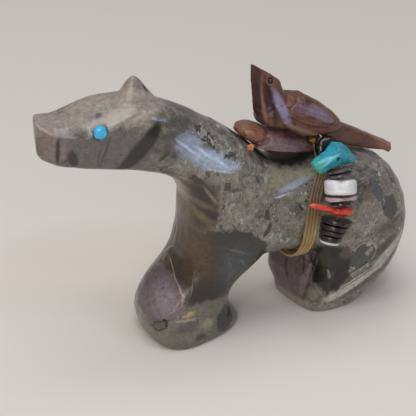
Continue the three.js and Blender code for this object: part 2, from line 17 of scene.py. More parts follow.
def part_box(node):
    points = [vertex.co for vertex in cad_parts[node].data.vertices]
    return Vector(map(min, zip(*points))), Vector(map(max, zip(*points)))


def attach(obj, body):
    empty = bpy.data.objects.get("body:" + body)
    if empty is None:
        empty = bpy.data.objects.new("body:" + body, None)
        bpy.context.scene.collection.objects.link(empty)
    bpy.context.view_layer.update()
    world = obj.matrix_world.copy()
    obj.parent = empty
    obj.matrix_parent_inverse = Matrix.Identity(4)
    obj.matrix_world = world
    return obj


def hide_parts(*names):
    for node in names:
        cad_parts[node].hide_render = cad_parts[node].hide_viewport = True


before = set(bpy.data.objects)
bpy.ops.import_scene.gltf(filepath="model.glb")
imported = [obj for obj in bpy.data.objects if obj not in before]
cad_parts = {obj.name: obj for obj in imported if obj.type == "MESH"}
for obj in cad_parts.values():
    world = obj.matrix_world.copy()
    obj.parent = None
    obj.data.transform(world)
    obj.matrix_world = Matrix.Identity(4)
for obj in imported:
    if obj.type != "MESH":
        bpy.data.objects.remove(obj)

logging.basicConfig(level=logging.INFO, format="%(message)s")
log = logging.getLogger("horse")

MM = 0.001
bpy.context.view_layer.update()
BODY = "root"

Place = tuple[float, float, float]
Socket = bpy.types.NodeSocket
Piece = bpy.types.Object


def linear(colour: str) -> tuple[float, float, float, float]:
    """Turns an sRGB hex colour into linear light.

    Args:
        colour: Six hex digits, as "#7f7c75".

    Returns:
        Red, green, blue and a full alpha.
    """
    digits = colour.lstrip("#")
    shares = [int(digits[i:i + 2], 16) / 255 for i in (0, 2, 4)]
    parts = [s / 12.92 if s <= 0.04045 else ((s + 0.055) / 1.055) ** 2.4 for s in shares]
    return (*parts, 1.0)


def add(tree: bpy.types.NodeTree, kind: str, inputs: dict | None = None, **settings) -> bpy.types.Node:
    """Adds one shader node.

    Args:
        tree: The material's node tree.
        kind: The node's type, without its "ShaderNode" prefix.
        inputs: Socket name or number to a value, or to the output socket that feeds it.
        **settings: The node's own settings.

    Returns:
        The new node.
    """
    node = tree.nodes.new("ShaderNode" + kind)
    for name, value in settings.items():
        setattr(node, name, value)
    for name, value in (inputs or {}).items():
        socket = node.inputs[name]
        if isinstance(value, bpy.types.NodeSocket):
            tree.links.new(value, socket)
        else:
            socket.default_value = value
    return node


@dataclass(frozen=True)
class Look:
    """What a finish's pattern gives the shader: colour, wear from 0 to 1, and height in metres."""

    colour: Socket
    wear: Socket
    height: Socket


@dataclass(frozen=True)
class Finish:
    """How one real material takes the light. Each kind of finish adds its own pattern.

    worn is what full wear adds to the roughness, glow is the share of the light that passes under the skin,
    and glow_depth is how far it travels there, in mm.
    """

    name: str
    slot: str
    roughness: float = 0.3
    worn: float = 0.15
    ior: float = 1.5
    coat: float = 0.0
    glow: float = 0.0
    glow_depth: float = 0.4
    coat_roughness: float = 0.06

    def pattern(self, tree: bpy.types.NodeTree, place: Socket) -> Look:
        """Draws the finish on Object coordinates; each kind of finish has its own.

        Args:
            tree: The material's node tree.
            place: Object coordinates.

        Returns:
            The pattern.
        """
        raise NotImplementedError

    def material(self) -> bpy.types.Material:
        """Makes the finish's material, or finds it if it is made already.

        Returns:
            The material, named for what the real one is.
        """
        made = bpy.data.materials.get(self.name)
        if made:
            return made
        made = bpy.data.materials.new(self.name)
        made.use_nodes = True
        tree = made.node_tree
        tree.nodes.clear()
        place = add(tree, "TexCoord").outputs["Object"]
        look = self.pattern(tree, place)
        gloss = add(tree, "MapRange", {"Value": look.wear, "To Min": self.roughness,
                                       "To Max": self.roughness + self.worn}, clamp=False)
        bump = add(tree, "Bump", {"Height": look.height, "Distance": 1.0, "Strength": 1.0})
        shader = add(tree, "BsdfPrincipled", {
            "Base Color": look.colour, "Roughness": gloss.outputs["Result"],
            "Normal": bump.outputs["Normal"], "IOR": self.ior, "Coat Weight": self.coat,
            "Coat Roughness": self.coat_roughness, "Subsurface Weight": self.glow,
            "Subsurface Scale": self.glow_depth * MM})
        add(tree, "OutputMaterial", {"Surface": shader.outputs["BSDF"]})
        return made


def mixed(tree: bpy.types.NodeTree, share: Socket | float, low: Socket | tuple, high: Socket | tuple,
          blend: str = "MIX") -> Socket:
    """Mixes two colours.

    Args:
        tree: The material's node tree.
        share: How much of the second colour there is, from 0 to 1.
        low: The first colour.
        high: The second colour.
        blend: How they mix.

    Returns:
        The mixed colour.
    """
    mix = add(tree, "Mix", {0: share, 6: low, 7: high}, data_type="RGBA", blend_type=blend)
    return mix.outputs[2]


def per(size: float) -> float:
    """The scale of a pattern whose features are that many millimetres apart."""
    return 1 / (size * MM)


def warped(tree: bpy.types.NodeTree, place: Socket, size: float, reach: float, detail: float = 3) -> Socket:
    """Shifts the pattern's coordinates about, so that outlines drawn on them turn ragged.

    Args:
        tree: The material's node tree.
        place: The coordinates to shift.
        size: How far apart the shifts change, in mm.
        reach: The most that a point shifts, in mm.
        detail: How many finer layers of shifts there are.

    Returns:
        The shifted coordinates.
    """
    wander = add(tree, "TexNoise", {"Vector": place, "Scale": per(size), "Detail": detail, "Roughness": 0.6})
    centred = add(tree, "VectorMath", {0: wander.outputs["Color"], 1: (0.5, 0.5, 0.5)}, operation="SUBTRACT")
    full = reach * MM * 2
    shifted = add(tree, "VectorMath", {0: centred.outputs["Vector"], 1: (full, full, full), 2: place},
                  operation="MULTIPLY_ADD")
    return shifted.outputs["Vector"]


def jagged(tree: bpy.types.NodeTree, place: Socket, cell: float, reach: float) -> Socket:
    """Shifts the coordinates cell by cell, so that outlines drawn on them break into short straight edges.

    Args:
        tree: The material's node tree.
        place: The coordinates to shift.
        cell: The size of the cells that shift together, in mm.
        reach: The most that a cell shifts, in mm.

    Returns:
        The shifted coordinates.
    """
    cells = add(tree, "TexVoronoi", {"Vector": place, "Scale": per(cell)})
    centred = add(tree, "VectorMath", {0: cells.outputs["Color"], 1: (0.5, 0.5, 0.5)}, operation="SUBTRACT")
    full = reach * MM * 2
    shifted = add(tree, "VectorMath", {0: centred.outputs["Vector"], 1: (full, full, full), 2: place},
                  operation="MULTIPLY_ADD")
    return shifted.outputs["Vector"]


@dataclass(frozen=True)
class Clast:
    """One fragment of older rock in the stone, or one vein, as an ellipsoid with a ragged edge. It also draws
    patches of painted light and shade.

    place and half are in mm in the object's frame, turn is in degrees, edge is how soft its outline is, and
    rim is the colour of the thin seam round it, if it has one. Veins keep a finer, straighter outline.
    """

    place: Place
    half: Place
    colour: str
    turn: Place = (0, 0, 0)
    edge: float = 0.08
    rim: str = ""
    vein: bool = False
    strength: float = 1.0


@dataclass(frozen=True)
class Inlay:
    """Draws clasts over a colour: on jagged coordinates for fragments, on straighter ones for veins.

    rim_width is in mm.
    """

    tree: bpy.types.NodeTree
    fragments: Socket
    veins: Socket
    rim_width: float = 0.3

    def drawn(self, colour: Socket, clast: Clast) -> Socket:
        """Draws one clast or vein over the colour so far.

        Args:
            colour: The colour so far.
            clast: What is drawn.

        Returns:
            The colour with the clast in it.
        """
        # The place hangs on the colour so far by a billionth, so that the renderer works the clasts out one
        # after another. It can't hold them all at once.
        held = add(self.tree, "VectorMath", {0: colour, 1: (1e-9, 1e-9, 1e-9),
                                             2: self.veins if clast.vein else self.fragments},
                   operation="MULTIPLY_ADD")
        local = add(self.tree, "Mapping", {
            "Vector": held.outputs["Vector"], "Location": Vector(clast.place) * MM,
            "Rotation": [math.radians(a) for a in clast.turn], "Scale": Vector(clast.half) * MM},
            vector_type="TEXTURE")
        far = add(self.tree, "VectorMath", {0: local.outputs["Vector"]}, operation="LENGTH")
        border = self.rim_width / min(clast.half[0], clast.half[2])
        layers = [(clast.rim, 1 + border)] if clast.rim else []
        for rock, limit in [*layers, (clast.colour, 1.0)]:
            inside = add(self.tree, "MapRange", {
                "Value": far.outputs["Value"], "From Min": limit - clast.edge, "From Max": limit + clast.edge,
                "To Min": clast.strength, "To Max": 0}, interpolation_type="SMOOTHSTEP")
            colour = mixed(self.tree, inside.outputs["Result"], colour, linear(rock))
        return colour


def seam(start: Place, end: Place, width: float, colour: str, deep: float = 3.0, edge: float = 0.35,
         strength: float = 1.0) -> Clast:
    """A thin straight seam of rock between two places on the surface. It also draws painted streaks of
    reflection.

    Args:
        start: One end, in mm.
        end: The other end.
        width: Its width.
        colour: Its colour.
        deep: How far it reaches into the stone, so that it also shows on a curved side.
        edge: How soft it is.
        strength: How much of what lies under it is covered.

    Returns:
        The seam.
    """
    first, last = Vector(start), Vector(end)
    way = (last - first).normalized()
    turn = (0.0, -math.degrees(math.asin(way.z)), math.degrees(math.atan2(way.y, way.x)))
    middle = (first + last) / 2
    half = ((last - first).length / 2, deep, width / 2)
    return Clast((middle.x, middle.y, middle.z), half, colour, turn, edge, vein=True, strength=strength)


# The head: pale above and darker at the side, which is painted light and shade, then streaks across the
# muzzle and the cheek, and the band at the jaw.
HEAD_CLASTS_AND_SHADING = (
    # Painted light and shade: the darker side of the head, and the paler top of the head and of the muzzle.
    Clast((-25.0, 3.0, 42.4), (12, 7, 5.4), "#5d5855", edge=0.25, strength=0.9),
    Clast((-25.0, 5.5, 50.0), (13, 8, 3.3), "#988f85", edge=0.2, strength=0.9),
    Clast((-33.6, 7.0, 48.6), (4.2, 6, 2.4), "#938a81", turn=(0, -14, 0), edge=0.3, strength=0.9),
    Clast((-34.2, 4.6, 43.6), (2.2, 3, 3.2), "#7a6f68", edge=0.65),
    seam((-33.3, 4.6, 45.8), (-33.6, 5.0, 40.2), 0.85, "#352b27", 2.5, 0.5),
    seam((-31.9, 4.0, 41.9), (-33.0, 4.4, 40.6), 0.5, "#4a403c", 2.5, 0.6),
    Clast((-31.3, 3.0, 41.8), (0.9, 2.5, 1.7), "#332b2b", turn=(0, -6, 0), edge=0.3, vein=True),
    Clast((-28.6, 1.8, 42.6), (1.2, 2, 1.6), "#5d5652", edge=0.7, strength=0.8),
    seam((-24.8, 0.8, 46.0), (-26.7, 1.3, 40.6), 0.4, "#47413d", 2.5, 0.5),
    seam((-26.6, 1.2, 44.0), (-27.3, 1.4, 41.4), 0.5, "#524b47", 2.5, 0.6),
    seam((-24.0, 0.1, 37.6), (-15.0, -0.7, 48.6), 2.8, "#1f201c", 5, 0.3),
    Clast((-13.6, -2.2, 43.4), (2.6, 3, 3.6), "#474644", turn=(0, 35, 0), edge=0.6, strength=0.8),
    seam((-18.4, -0.8, 41.6), (-14.8, -0.9, 45.6), 1.2, "#45433e", 5, 0.8, 0.6),
    seam((-15.8, -0.6, 47.6), (-8.3, -0.1, 45.8), 1.5, "#4e4c47", 4, 0.5),
    seam((-16.8, -1.9, 40.4), (-14.6, -2.4, 42.1), 0.7, "#36332f", 2, 0.4),
    Clast((-13.8, -2.5, 41.5), (0.5, 1.2, 0.7), "#3a3733", turn=(0, 30, 0), edge=0.3),
    Clast((-26.2, 4.0, 49.1), (1.3, 0.8, 0.45), "#665e57", edge=0.4, vein=True),
    Clast((-27.8, 4.6, 48.8), (1.2, 1.2, 0.5), "#857b73", edge=0.7),
    Clast((-18.8, 2.4, 50.2), (1.9, 1.8, 1.2), "#7d7166", edge=0.65, strength=0.6),
    Clast((-20.9, 2.8, 50.6), (0.4, 0.6, 0.35), "#565049", edge=0.3, vein=True),
    Clast((-17.4, 4.6, 53.4), (0.7, 1.4, 0.8), "#5a534d", edge=0.6, strength=0.7, vein=True),
    Clast((-17.6, 6.6, 54.4), (3.2, 3.4, 2.2), "#8d857c", edge=0.4, strength=0.75),
    Clast((-16.2, 4.6, 52.4), (0.35, 0.8, 0.5), "#4b4642", edge=0.3),
)
# Painted shade: the dip under the bundle stone is coloured nearly black, for the shadow that falls there, and
# is made rough so that it shows no reflection.
SHADE_UNDER_STONE = (
    Clast((1.4, 2.8, 39.6), (2.6, 2.6, 1.0), "#24221e", turn=(0, 42, 0), edge=0.3),
    Clast((5.0, 2.4, 36.2), (3.2, 3.6, 1.6), "#1f1d1a", turn=(0, 45, 0), edge=0.3),
    Clast((11.8, 3.4, 32.8), (6.4, 3.6, 1.6), "#1f1d1a", turn=(0, 8, 0), edge=0.3),
)
# The neck and the shoulder: bluish patches with thin bright veins, partly the stone's colour and partly
# painted reflections, a ring-shaped pair, small dark bits. Low on the flank lies a bluish streak, partly a
# painted reflection too.
NECK_CLASTS_AND_REFLECTIONS = (
    # Partly painted reflections: the bluish patches and the bright veins.
    Clast((-10.6, -2.8, 42.5), (3.0, 2.4, 2.1), "#929eb6", turn=(0, 38, 0), edge=0.4, strength=0.75),
    Clast((-7.2, -3.5, 39.5), (3.5, 2.4, 1.9), "#9ba8c0", turn=(0, 24, 0), edge=0.3, strength=0.85),
    Clast((-3.6, -4.0, 37.4), (2.6, 2, 1.0), "#9ba8c0", turn=(0, 16, 0), edge=0.3, strength=0.85),
    seam((-12.6, -2.4, 43.6), (-9.4, -3.2, 40.6), 0.5, "#bcc9e2", 2, 0.8),
    seam((-9.6, -3.0, 42.2), (-6.6, -3.6, 39.4), 0.5, "#bcc9e2", 2, 0.8),
    seam((-6.8, -3.6, 40.2), (-3.4, -4.0, 37.0), 0.6, "#b9c6de", 2, 0.8),
    seam((-7.6, -3.9, 37.6), (-2.6, -4.3, 36.0), 0.5, "#a7aeb8", 2, 0.5),
    Clast((-7.5, -2.2, 44.4), (0.95, 1.5, 1.15), "#8a8783", rim="#3f3c39", edge=0.06),
    Clast((-6.2, -2.6, 42.8), (0.5, 1.2, 1.0), "#8a8783", rim="#3f3c39", edge=0.06),
    Clast((-2.9, -3.3, 39.0), (1.5, 1.5, 0.55), "#454648", turn=(0, 8, 0), edge=0.12),
    Clast((-9.6, -3.2, 35.4), (1.5, 1.8, 0.8), "#3d3a35", turn=(0, 40, 0), edge=0.3),
    Clast((-8.0, -3.6, 33.2), (1.1, 1.8, 0.7), "#2e2b27", turn=(0, 55, 0), edge=0.3),
    Clast((-2.4, -4.4, 32.3), (1.6, 1.5, 0.5), "#4a4945", turn=(0, 6, 0), edge=0.3),
    Clast((4.2, -1.9, 33.2), (0.9, 1.6, 0.7), "#33322f", turn=(0, 20, 0), edge=0.3),
    Clast((5.4, -2.4, 32.2), (0.7, 1.6, 0.6), "#3a3935", rim="#8c8a80", edge=0.2),
    seam((6.6, -2.2, 34.0), (9.6, -3.2, 31.6), 0.45, "#4c4a3f", 2, 0.5),
    Clast((7.6, -2.4, 31.6), (4.2, 3, 1.9), "#8a8670", edge=0.65, strength=0.8),
    Clast((13.0, -3.4, 31.2), (3.4, 3, 0.9), "#8a8872", turn=(0, 14, 0), edge=0.5, strength=0.8),
    # Partly painted reflection: the bluish streak along the flank and its bright line.
    seam((6.8, -3.8, 29.6), (14.6, -3.8, 30.4), 1.0, "#8f98a6", 2.5, 0.5),
    seam((5.6, -3.9, 29.0), (9.2, -4.0, 28.9), 0.35, "#b3bcca", 2, 0.5),
)
# The mottled brown chest, and the large dark fragment in the fore leg, brown before and slate behind. The
# brown on the faces turned forward is partly the stone's colour and partly painted shade, warm; the fore foot
# carries a painted highlight and a painted glint.
FORE_CLASTS_AND_LIGHT = (
    # Partly painted shade, warm: the dark brown over the front of the chest.
    Clast((-9.0, -1.0, 29.8), (3.9, 8, 6.0), "#37291a", edge=0.4, strength=0.95),
    Clast((-10.5, 3.0, 27.5), (1.2, 6, 6), "#705c3f", edge=0.6, strength=0.85),
    Clast((-8.6, -2.4, 31.8), (1.5, 2.5, 1.9), "#2a2319", turn=(0, 20, 0), edge=0.35),
    Clast((-6.9, -3.8, 28.0), (1.3, 2.0, 2.1), "#2a2319", turn=(0, -20, 0), edge=0.35),
    seam((-9.8, 1.0, 31.0), (-6.6, -3.7, 28.9), 1.3, "#65573f", 2.5, 0.9),
    seam((-9.9, 0.8, 28.5), (-6.6, -3.9, 26.0), 1.4, "#6b5d43", 2.5, 0.9),
    seam((-8.0, -3.2, 33.6), (-6.2, -4.2, 30.4), 0.6, "#7d7a70", 2, 0.8),
    Clast((-4.0, -1.0, 16.6), (9.0, 12, 8.2), "#2f2e2c", turn=(0, 8, 0), edge=0.025),
    # Partly painted shade, warm: the brown over the front of the fore leg.
    Clast((-10.4, -1.0, 17.2), (4.9, 9, 8.0), "#3a2c1a", edge=0.35, strength=0.95),
    Clast((-9.6, -2.2, 19.2), (2.0, 4, 4.0), "#56472f", turn=(0, 15, 0), edge=0.9, strength=0.7),
    Clast((-2.9, -5.0, 17.2), (2.8, 3, 3.6), "#414445", turn=(0, 20, 0), edge=0.7, strength=0.8),
    seam((-4.4, -5.0, 20.6), (0.2, -5.2, 18.2), 0.5, "#5d6165", 2.5, 0.6, 0.6),
    seam((-4.3, -4.9, 18.4), (-3.9, -4.4, 12.4), 0.5, "#55595c", 2.5, 0.6, 0.5),
    seam((-1.6, -5.2, 17.6), (-0.2, -5.0, 15.2), 0.4, "#63686b", 2.5, 0.6, 0.5),
    Clast((-8.2, -4.0, 10.9), (4.6, 5, 2.3), "#15110c", edge=0.7, strength=0.9),
    Clast((-8.5, -1.0, 3.5), (10.5, 12, 5.9), "#5c584f", edge=0.03, rim="#7c766a", strength=0.5),
    Clast((-16.6, 0.5, 10.4), (5.2, 9, 4.1), "#5b4f51", turn=(0, -52, 0), edge=0.03),
    # Painted highlight: the paler middle of the purple fragment in the fore foot.
    Clast((-15.4, -1.2, 9.9), (3.2, 5, 1.7), "#92858b", turn=(0, -58, 0), edge=0.9, strength=0.85),
    seam((-12.1, 4.2, 15.7), (-12.9, 0.6, 14.4), 0.2, "#8f887b", 2.5, 0.3),
    seam((-12.9, 0.8, 14.4), (-13.1, -2.2, 12.8), 0.2, "#8f887b", 2.5, 0.3),
    seam((-13.1, -2.1, 12.9), (-12.6, -4.0, 11.0), 0.24, "#9c9587", 2.5, 0.3),
    seam((-12.6, -4.0, 11.2), (-13.3, -4.1, 9.4), 0.22, "#938b7e", 2.5, 0.3),
    seam((-13.2, -4.0, 9.6), (-15.8, -3.3, 7.8), 0.26, "#8b8376", 2.5, 0.3),
    seam((-10.0, -4.2, 15.4), (-11.6, -4.4, 11.2), 0.18, "#6b6152", 2, 0.5),
    Clast((-17.2, -2.6, 5.4), (1.3, 1.2, 0.6), "#5d554e", turn=(0, -45, 0), edge=0.16, rim="#241e1a"),
    # Painted glint: the small pale yellow spot on the front of the fore foot.
    Clast((-12.0, -4.9, 7.7), (1.2, 1, 0.4), "#a79566", turn=(0, -4, 0), edge=0.5),
    seam((-14.6, -3.9, 6.6), (-10.6, -5.0, 6.4), 0.6, "#8f8a7d", 2, 0.6),
    Clast((-12.8, -5.0, 4.8), (2.4, 2, 1.0), "#55534e", turn=(0, -10, 0), edge=0.35),
    Clast((-8.3, -4.9, 4.4), (1.1, 1.5, 1.1), "#8d876a", edge=0.4),
    Clast((-9.8, -4.9, 1.9), (1.3, 1.5, 0.7), "#4b4943", edge=0.3),
    Clast((-3.7, -3.3, 3.6), (2.3, 2.8, 2.9), "#34342f", turn=(0, 18, 0), edge=0.04),
)
# The flank and the rump: a dark splinter, slate fragments, olive strips and the pale band low on the haunch.
# The front of the near hind leg is a dark fragment, darker still with painted shade under the belly.
REAR_CLASTS_AND_SHADE = (
    seam((3.4, -5.6, 21.0), (4.8, -5.5, 24.2), 0.9, "#33332f", 2, 0.2),
    seam((3.6, -5.2, 26.0), (4.1, -5.0, 27.2), 0.5, "#33332f", 2, 0.25),
    seam((10.6, -5.2, 26.6), (11.4, -5.4, 25.0), 0.5, "#3b3a36", 2, 0.25),
    seam((26.6, -4.2, 28.0), (28.6, -5.7, 23.2), 1.4, "#53555b", 2.5, 0.15),
    Clast((30.7, -5.3, 21.4), (1.8, 3, 2.6), "#414244", turn=(0, -12, 0), edge=0.04),
    seam((27.8, -6.2, 16.4), (33.4, -4.7, 18.9), 1.3, "#514e47", 2.5, 0.15),
    seam((28.0, -6.3, 14.9), (32.8, -5.3, 16.9), 0.8, "#6b5f4b", 2.5, 0.3),
    Clast((24.4, -6.3, 12.3), (3.2, 3, 1.95), "#444441", turn=(0, -32, 0), edge=0.03, rim="#949087"),
    Clast((26.2, -6.3, 13.3), (0.7, 1.5, 1.0), "#85827c", turn=(0, 20, 0), edge=0.2),
    Clast((29.7, -6.1, 12.9), (1.0, 1.5, 0.45), "#4b4037", turn=(0, 10, 0), edge=0.22),
    seam((21.0, -6.0, 8.6), (27.8, -6.2, 11.2), 0.4, "#2e2c27", 2.5, 0.3),
    seam((27.0, -6.2, 10.9), (31.8, -5.8, 15.0), 2.0, "#45413a", 2.5, 0.5),
    Clast((20.6, -5.8, 8.6), (1.5, 2, 0.8), "#45433c", turn=(0, -20, 0), edge=0.2),
    seam((16.9, -5.3, 2.7), (27.6, -6.0, 8.5), 2.3, "#b5b2ab", 4, 0.22),
    seam((26.2, -6.0, 7.6), (34.0, -4.2, 14.6), 2.2, "#aaa59b", 4, 0.22),
    seam((19.4, -6.0, 5.0), (28.4, -6.2, 9.4), 0.35, "#6e6a61", 4, 0.5),
    seam((20.4, -5.8, 2.6), (32.6, -4.2, 9.9), 1.5, "#58544b", 4, 0.4),
    # Partly painted shade: the front of the near hind leg under the belly, a dark fragment made nearly black.
    Clast((16.9, -2.8, 11.6), (2.2, 3.2, 4.6), "#1f1a12", edge=0.3),
    Clast((18.6, -4.2, 10.2), (3.6, 5, 5.4), "#13110a", turn=(0, 8, 0), edge=0.12),
    Clast((17.4, -3.0, 11.4), (1.3, 3, 2.4), "#393526", turn=(0, 12, 0), edge=0.7, strength=0.7),
    Clast((21.2, -5.6, 13.4), (1.2, 2, 1.5), "#4a4334", turn=(0, 30, 0), edge=0.4),
    Clast((13.0, 3.2, 7.6), (3.6, 9, 6.6), "#675958", edge=0.05),
    seam((12.9, 3.4, 9.6), (14.8, 1.2, 4.2), 0.8, "#6b5f5f", 2.5, 0.7),
    seam((12.8, 5.4, 9.0), (13.6, 3.0, 4.4), 0.6, "#453b3b", 2.5, 0.6),
    seam((14.4, 1.8, 11.0), (15.4, -0.6, 6.4), 0.5, "#433939", 2.5, 0.6),
    seam((15.8, -0.4, 13.8), (16.5, -3.4, 5.0), 0.7, "#262119", 2.5, 0.5),
    seam((17.9, -5.2, 7.6), (17.5, -5.2, 3.8), 0.6, "#2a2721", 2, 0.4),
    Clast((15.3, -3.1, 3.8), (1.6, 2.2, 1.3), "#736f61", edge=0.4, rim="#45413a"),
    Clast((13.2, 1.5, 1.0), (1.8, 6, 1.0), "#8b867c", edge=0.4),
)
LEFT_CLASTS = HEAD_CLASTS_AND_SHADING + NECK_CLASTS_AND_REFLECTIONS + FORE_CLASTS_AND_LIGHT + REAR_CLASTS_AND_SHADE + SHADE_UNDER_STONE

# The right side, the back and the crest are finished in keeping: fewer fragments of the same rocks.
RIGHT_CLASTS = (
    Clast((-21.0, 9.5, 43.0), (1.4, 2.4, 4.6), "#45413d", turn=(0, 38, 0), edge=0.3),
    Clast((-29.5, 10.6, 43.4), (0.25, 2.5, 3.0), "#4a4038", turn=(0, -14, 0), edge=0.3, vein=True),
    Clast((-12.0, 8.6, 42.0), (3.2, 3, 2.0), "#5a5750", turn=(0, 30, 0), edge=0.12, rim="#98938a"),
    Clast((-4.5, 10.0, 34.5), (2.2, 2.5, 3.0), "#4c4b47", turn=(0, -20, 0), edge=0.06),
    Clast((-8.0, 9.4, 19.0), (4.2, 5, 7.0), "#4d4538", turn=(0, 10, 0), edge=0.05, rim="#8f897d"),
    Clast((-13.0, 7.6, 5.0), (3.0, 3.6, 2.6), "#5c5154", edge=0.08, rim="#968d86"),
    Clast((4.5, 12.0, 25.5), (3.4, 3, 2.0), "#6a6862", turn=(0, -30, 0), edge=0.22),
    Clast((10.5, 12.4, 19.0), (1.0, 2, 2.4), "#43423e", turn=(0, 25, 0), edge=0.12),
    Clast((19.5, 12.6, 25.0), (2.6, 3, 1.7), "#484743", turn=(0, 18, 0), edge=0.06, rim="#908c82"),
    Clast((27.5, 12.4, 19.5), (2.0, 2.6, 3.2), "#54524c", turn=(0, -30, 0), edge=0.06),
    Clast((32.0, 10.5, 12.0), (3.6, 3, 1.2), "#918c82", turn=(0, -50, 0), edge=0.3),
    Clast((21.5, 12.6, 9.0), (3.4, 3, 4.6), "#413d35", turn=(0, 14, 0), edge=0.12),
    Clast((33.5, 3.0, 22.5), (3.0, 2.4, 2.8), "#4e4d49", edge=0.06, rim="#8f8b80"),
    Clast((28.5, 3.6, 30.2), (2.6, 1.7, 2.0), "#5b5953", edge=0.12),
    Clast((-9.0, 3.0, 47.5), (2.6, 1.3, 1.6), "#5d5952", edge=0.22),
    Clast((1.5, 4.6, 39.0), (2.0, 1.5, 2.6), "#4d4b46", edge=0.08),
)


@dataclass(frozen=True)
class Breccia(Finish):
    """Polished sedimentary breccia: angular bits of grey, olive and purple rock in a fine grey matrix.

    It was ground to shape and polished, so it is smooth to the touch with a waxed gloss, and its colours
    change by fragment and not by relief.
    """

    pale: str = "#87837b"
    deep: str = "#504d48"
    warm: str = "#766852"
    speck: str = "#2f2d2a"
    slate: str = "#4c4b49"
    fleck: str = "#a8a6a0"
    # Broken bits in the ground: their size in mm, the share of them that is dark, and their reach in a cell.
    grit: tuple[Place, ...] = ((3.4, 0.05, 0.42), (1.7, 0.14, 0.4), (0.9, 0.16, 0.4), (0.5, 0.12, 0.4))
    clasts: tuple[Clast, ...] = LEFT_CLASTS + RIGHT_CLASTS

    def ground(self, tree: bpy.types.NodeTree, place: Socket) -> Socket:
        """The fine ground of the stone: grey clouds, warmer swirls and thin pale wisps.

        Args:
            tree: The material's node tree.
            place: Object coordinates.

        Returns:
            The colour of the ground.
        """
        clouds = add(tree, "TexNoise", {"Vector": place, "Scale": per(6), "Detail": 7, "Roughness": 0.66,
                                        "Distortion": 1.2})
        soft = add(tree, "MapRange", {"Value": clouds.outputs["Fac"], "From Min": 0.38, "From Max": 0.62})
        colour = mixed(tree, soft.outputs["Result"], linear(self.deep), linear(self.pale))
        swirl = add(tree, "TexNoise", {"Vector": place, "Scale": per(4.2), "Detail": 4, "Distortion": 2.6})
        warm = add(tree, "MapRange", {"Value": swirl.outputs["Fac"], "From Min": 0.5, "From Max": 0.66,
                                      "To Max": 0.6})
        colour = mixed(tree, warm.outputs["Result"], colour, linear(self.warm))
        # A wisp runs where a folded noise crosses its middle value.
        fold = add(tree, "TexNoise", {"Vector": place, "Scale": per(5), "Detail": 3, "Distortion": 3.4})
        off = add(tree, "Math", {0: fold.outputs["Fac"], 1: 0.5}, operation="SUBTRACT")
        away = add(tree, "Math", {0: off.outputs[0]}, operation="ABSOLUTE")
        wisp = add(tree, "MapRange", {"Value": away.outputs[0], "From Max": 0.02, "To Min": 0.5, "To Max": 0})
        return mixed(tree, wisp.outputs["Result"], colour, linear(self.fleck))

    def broken(self, tree: bpy.types.NodeTree, place: Socket, colour: Socket) -> Socket:
        """Strews angular bits of four sizes over the ground: most slate or nearly black, a few pale.

        Args:
            tree: The material's node tree.
            place: Object coordinates.
            colour: The colour of the ground.

        Returns:
            The colour with the bits in it.
        """
        # The bits lie with the bedding, longer along it than across, and have straight broken edges.
        bedded = add(tree, "Mapping", {"Vector": warped(tree, place, 1.6, 0.35),
                                       "Rotation": [0.0, math.radians(35), 0.0], "Scale": [1.7, 1.0, 1.0]})
        for size, share, reach in self.grit:
            cell = add(tree, "TexVoronoi", {"Vector": bedded.outputs["Vector"], "Scale": per(size)},
                       distance="MANHATTAN")
            near = add(tree, "MapRange", {"Value": cell.outputs["Distance"], "From Min": reach,
                                          "From Max": reach + 0.07, "To Min": 0.9, "To Max": 0})
            tone = add(tree, "SeparateColor", {0: cell.outputs["Color"]})
            dark = mixed(tree, tone.outputs[2], linear(self.speck), linear(self.slate))
            for channel, part, rock in ((0, share, dark), (1, share * 0.45, linear(self.fleck))):
                picked = add(tree, "Math", {0: tone.outputs[channel], 1: part}, operation="LESS_THAN")
                seen = add(tree, "Math", {0: near.outputs["Result"], 1: picked.outputs[0]},
                           operation="MULTIPLY")
                colour = mixed(tree, seen.outputs[0], colour, rock)
        return colour

    def pattern(self, tree: bpy.types.NodeTree, place: Socket) -> Look:
        """Ground, bits, clasts and veins, some of them painted light and shade, then the grain that runs
        through all of them.

        Args:
            tree: The material's node tree.
            place: Object coordinates.

        Returns:
            The pattern.
        """
        colour = self.broken(tree, place, self.ground(tree, place))
        ragged = warped(tree, place, 3.2, 1.0, 5)
        inlay = Inlay(tree, jagged(tree, ragged, 0.8, 0.28), warped(tree, place, 2.4, 0.3))
        # Among the clasts are painted shade, highlights and reflections.
        for clast in self.clasts:
            colour = inlay.drawn(colour, clast)
        bent = warped(tree, place, 2.2, 1.4)
        grain = add(tree, "TexNoise", {"Vector": bent, "Scale": per(1.1), "Detail": 6, "Roughness": 0.72})
        shade = add(tree, "MapRange", {"Value": grain.outputs["Fac"], "From Min": 0.3, "From Max": 0.7,
                                       "To Min": 0.6, "To Max": 1.36})
        grey = add(tree, "CombineColor", {0: shade.outputs["Result"], 1: shade.outputs["Result"],
                                          2: shade.outputs["Result"]})
        colour = mixed(tree, 1.0, colour, grey.outputs[0], "MULTIPLY")
        # The polish: broad flats left by the grinding wheel, and pits of about 0.3 mm.
        flats = add(tree, "TexNoise", {"Vector": place, "Scale": per(5), "Detail": 2})
        pits = add(tree, "TexNoise", {"Vector": place, "Scale": per(0.35), "Detail": 3})
        deep = add(tree, "MapRange", {"Value": pits.outputs["Fac"], "From Min": 0.3, "From Max": 0.42,
                                      "To Min": -0.012 * MM, "To Max": 0})
        height = add(tree, "Math", {0: flats.outputs["Fac"], 1: 0.3 * MM, 2: deep.outputs["Result"]},
                     operation="MULTIPLY_ADD")
        return Look(colour, self.wear(inlay, grain.outputs["Fac"]), height.outputs[0])

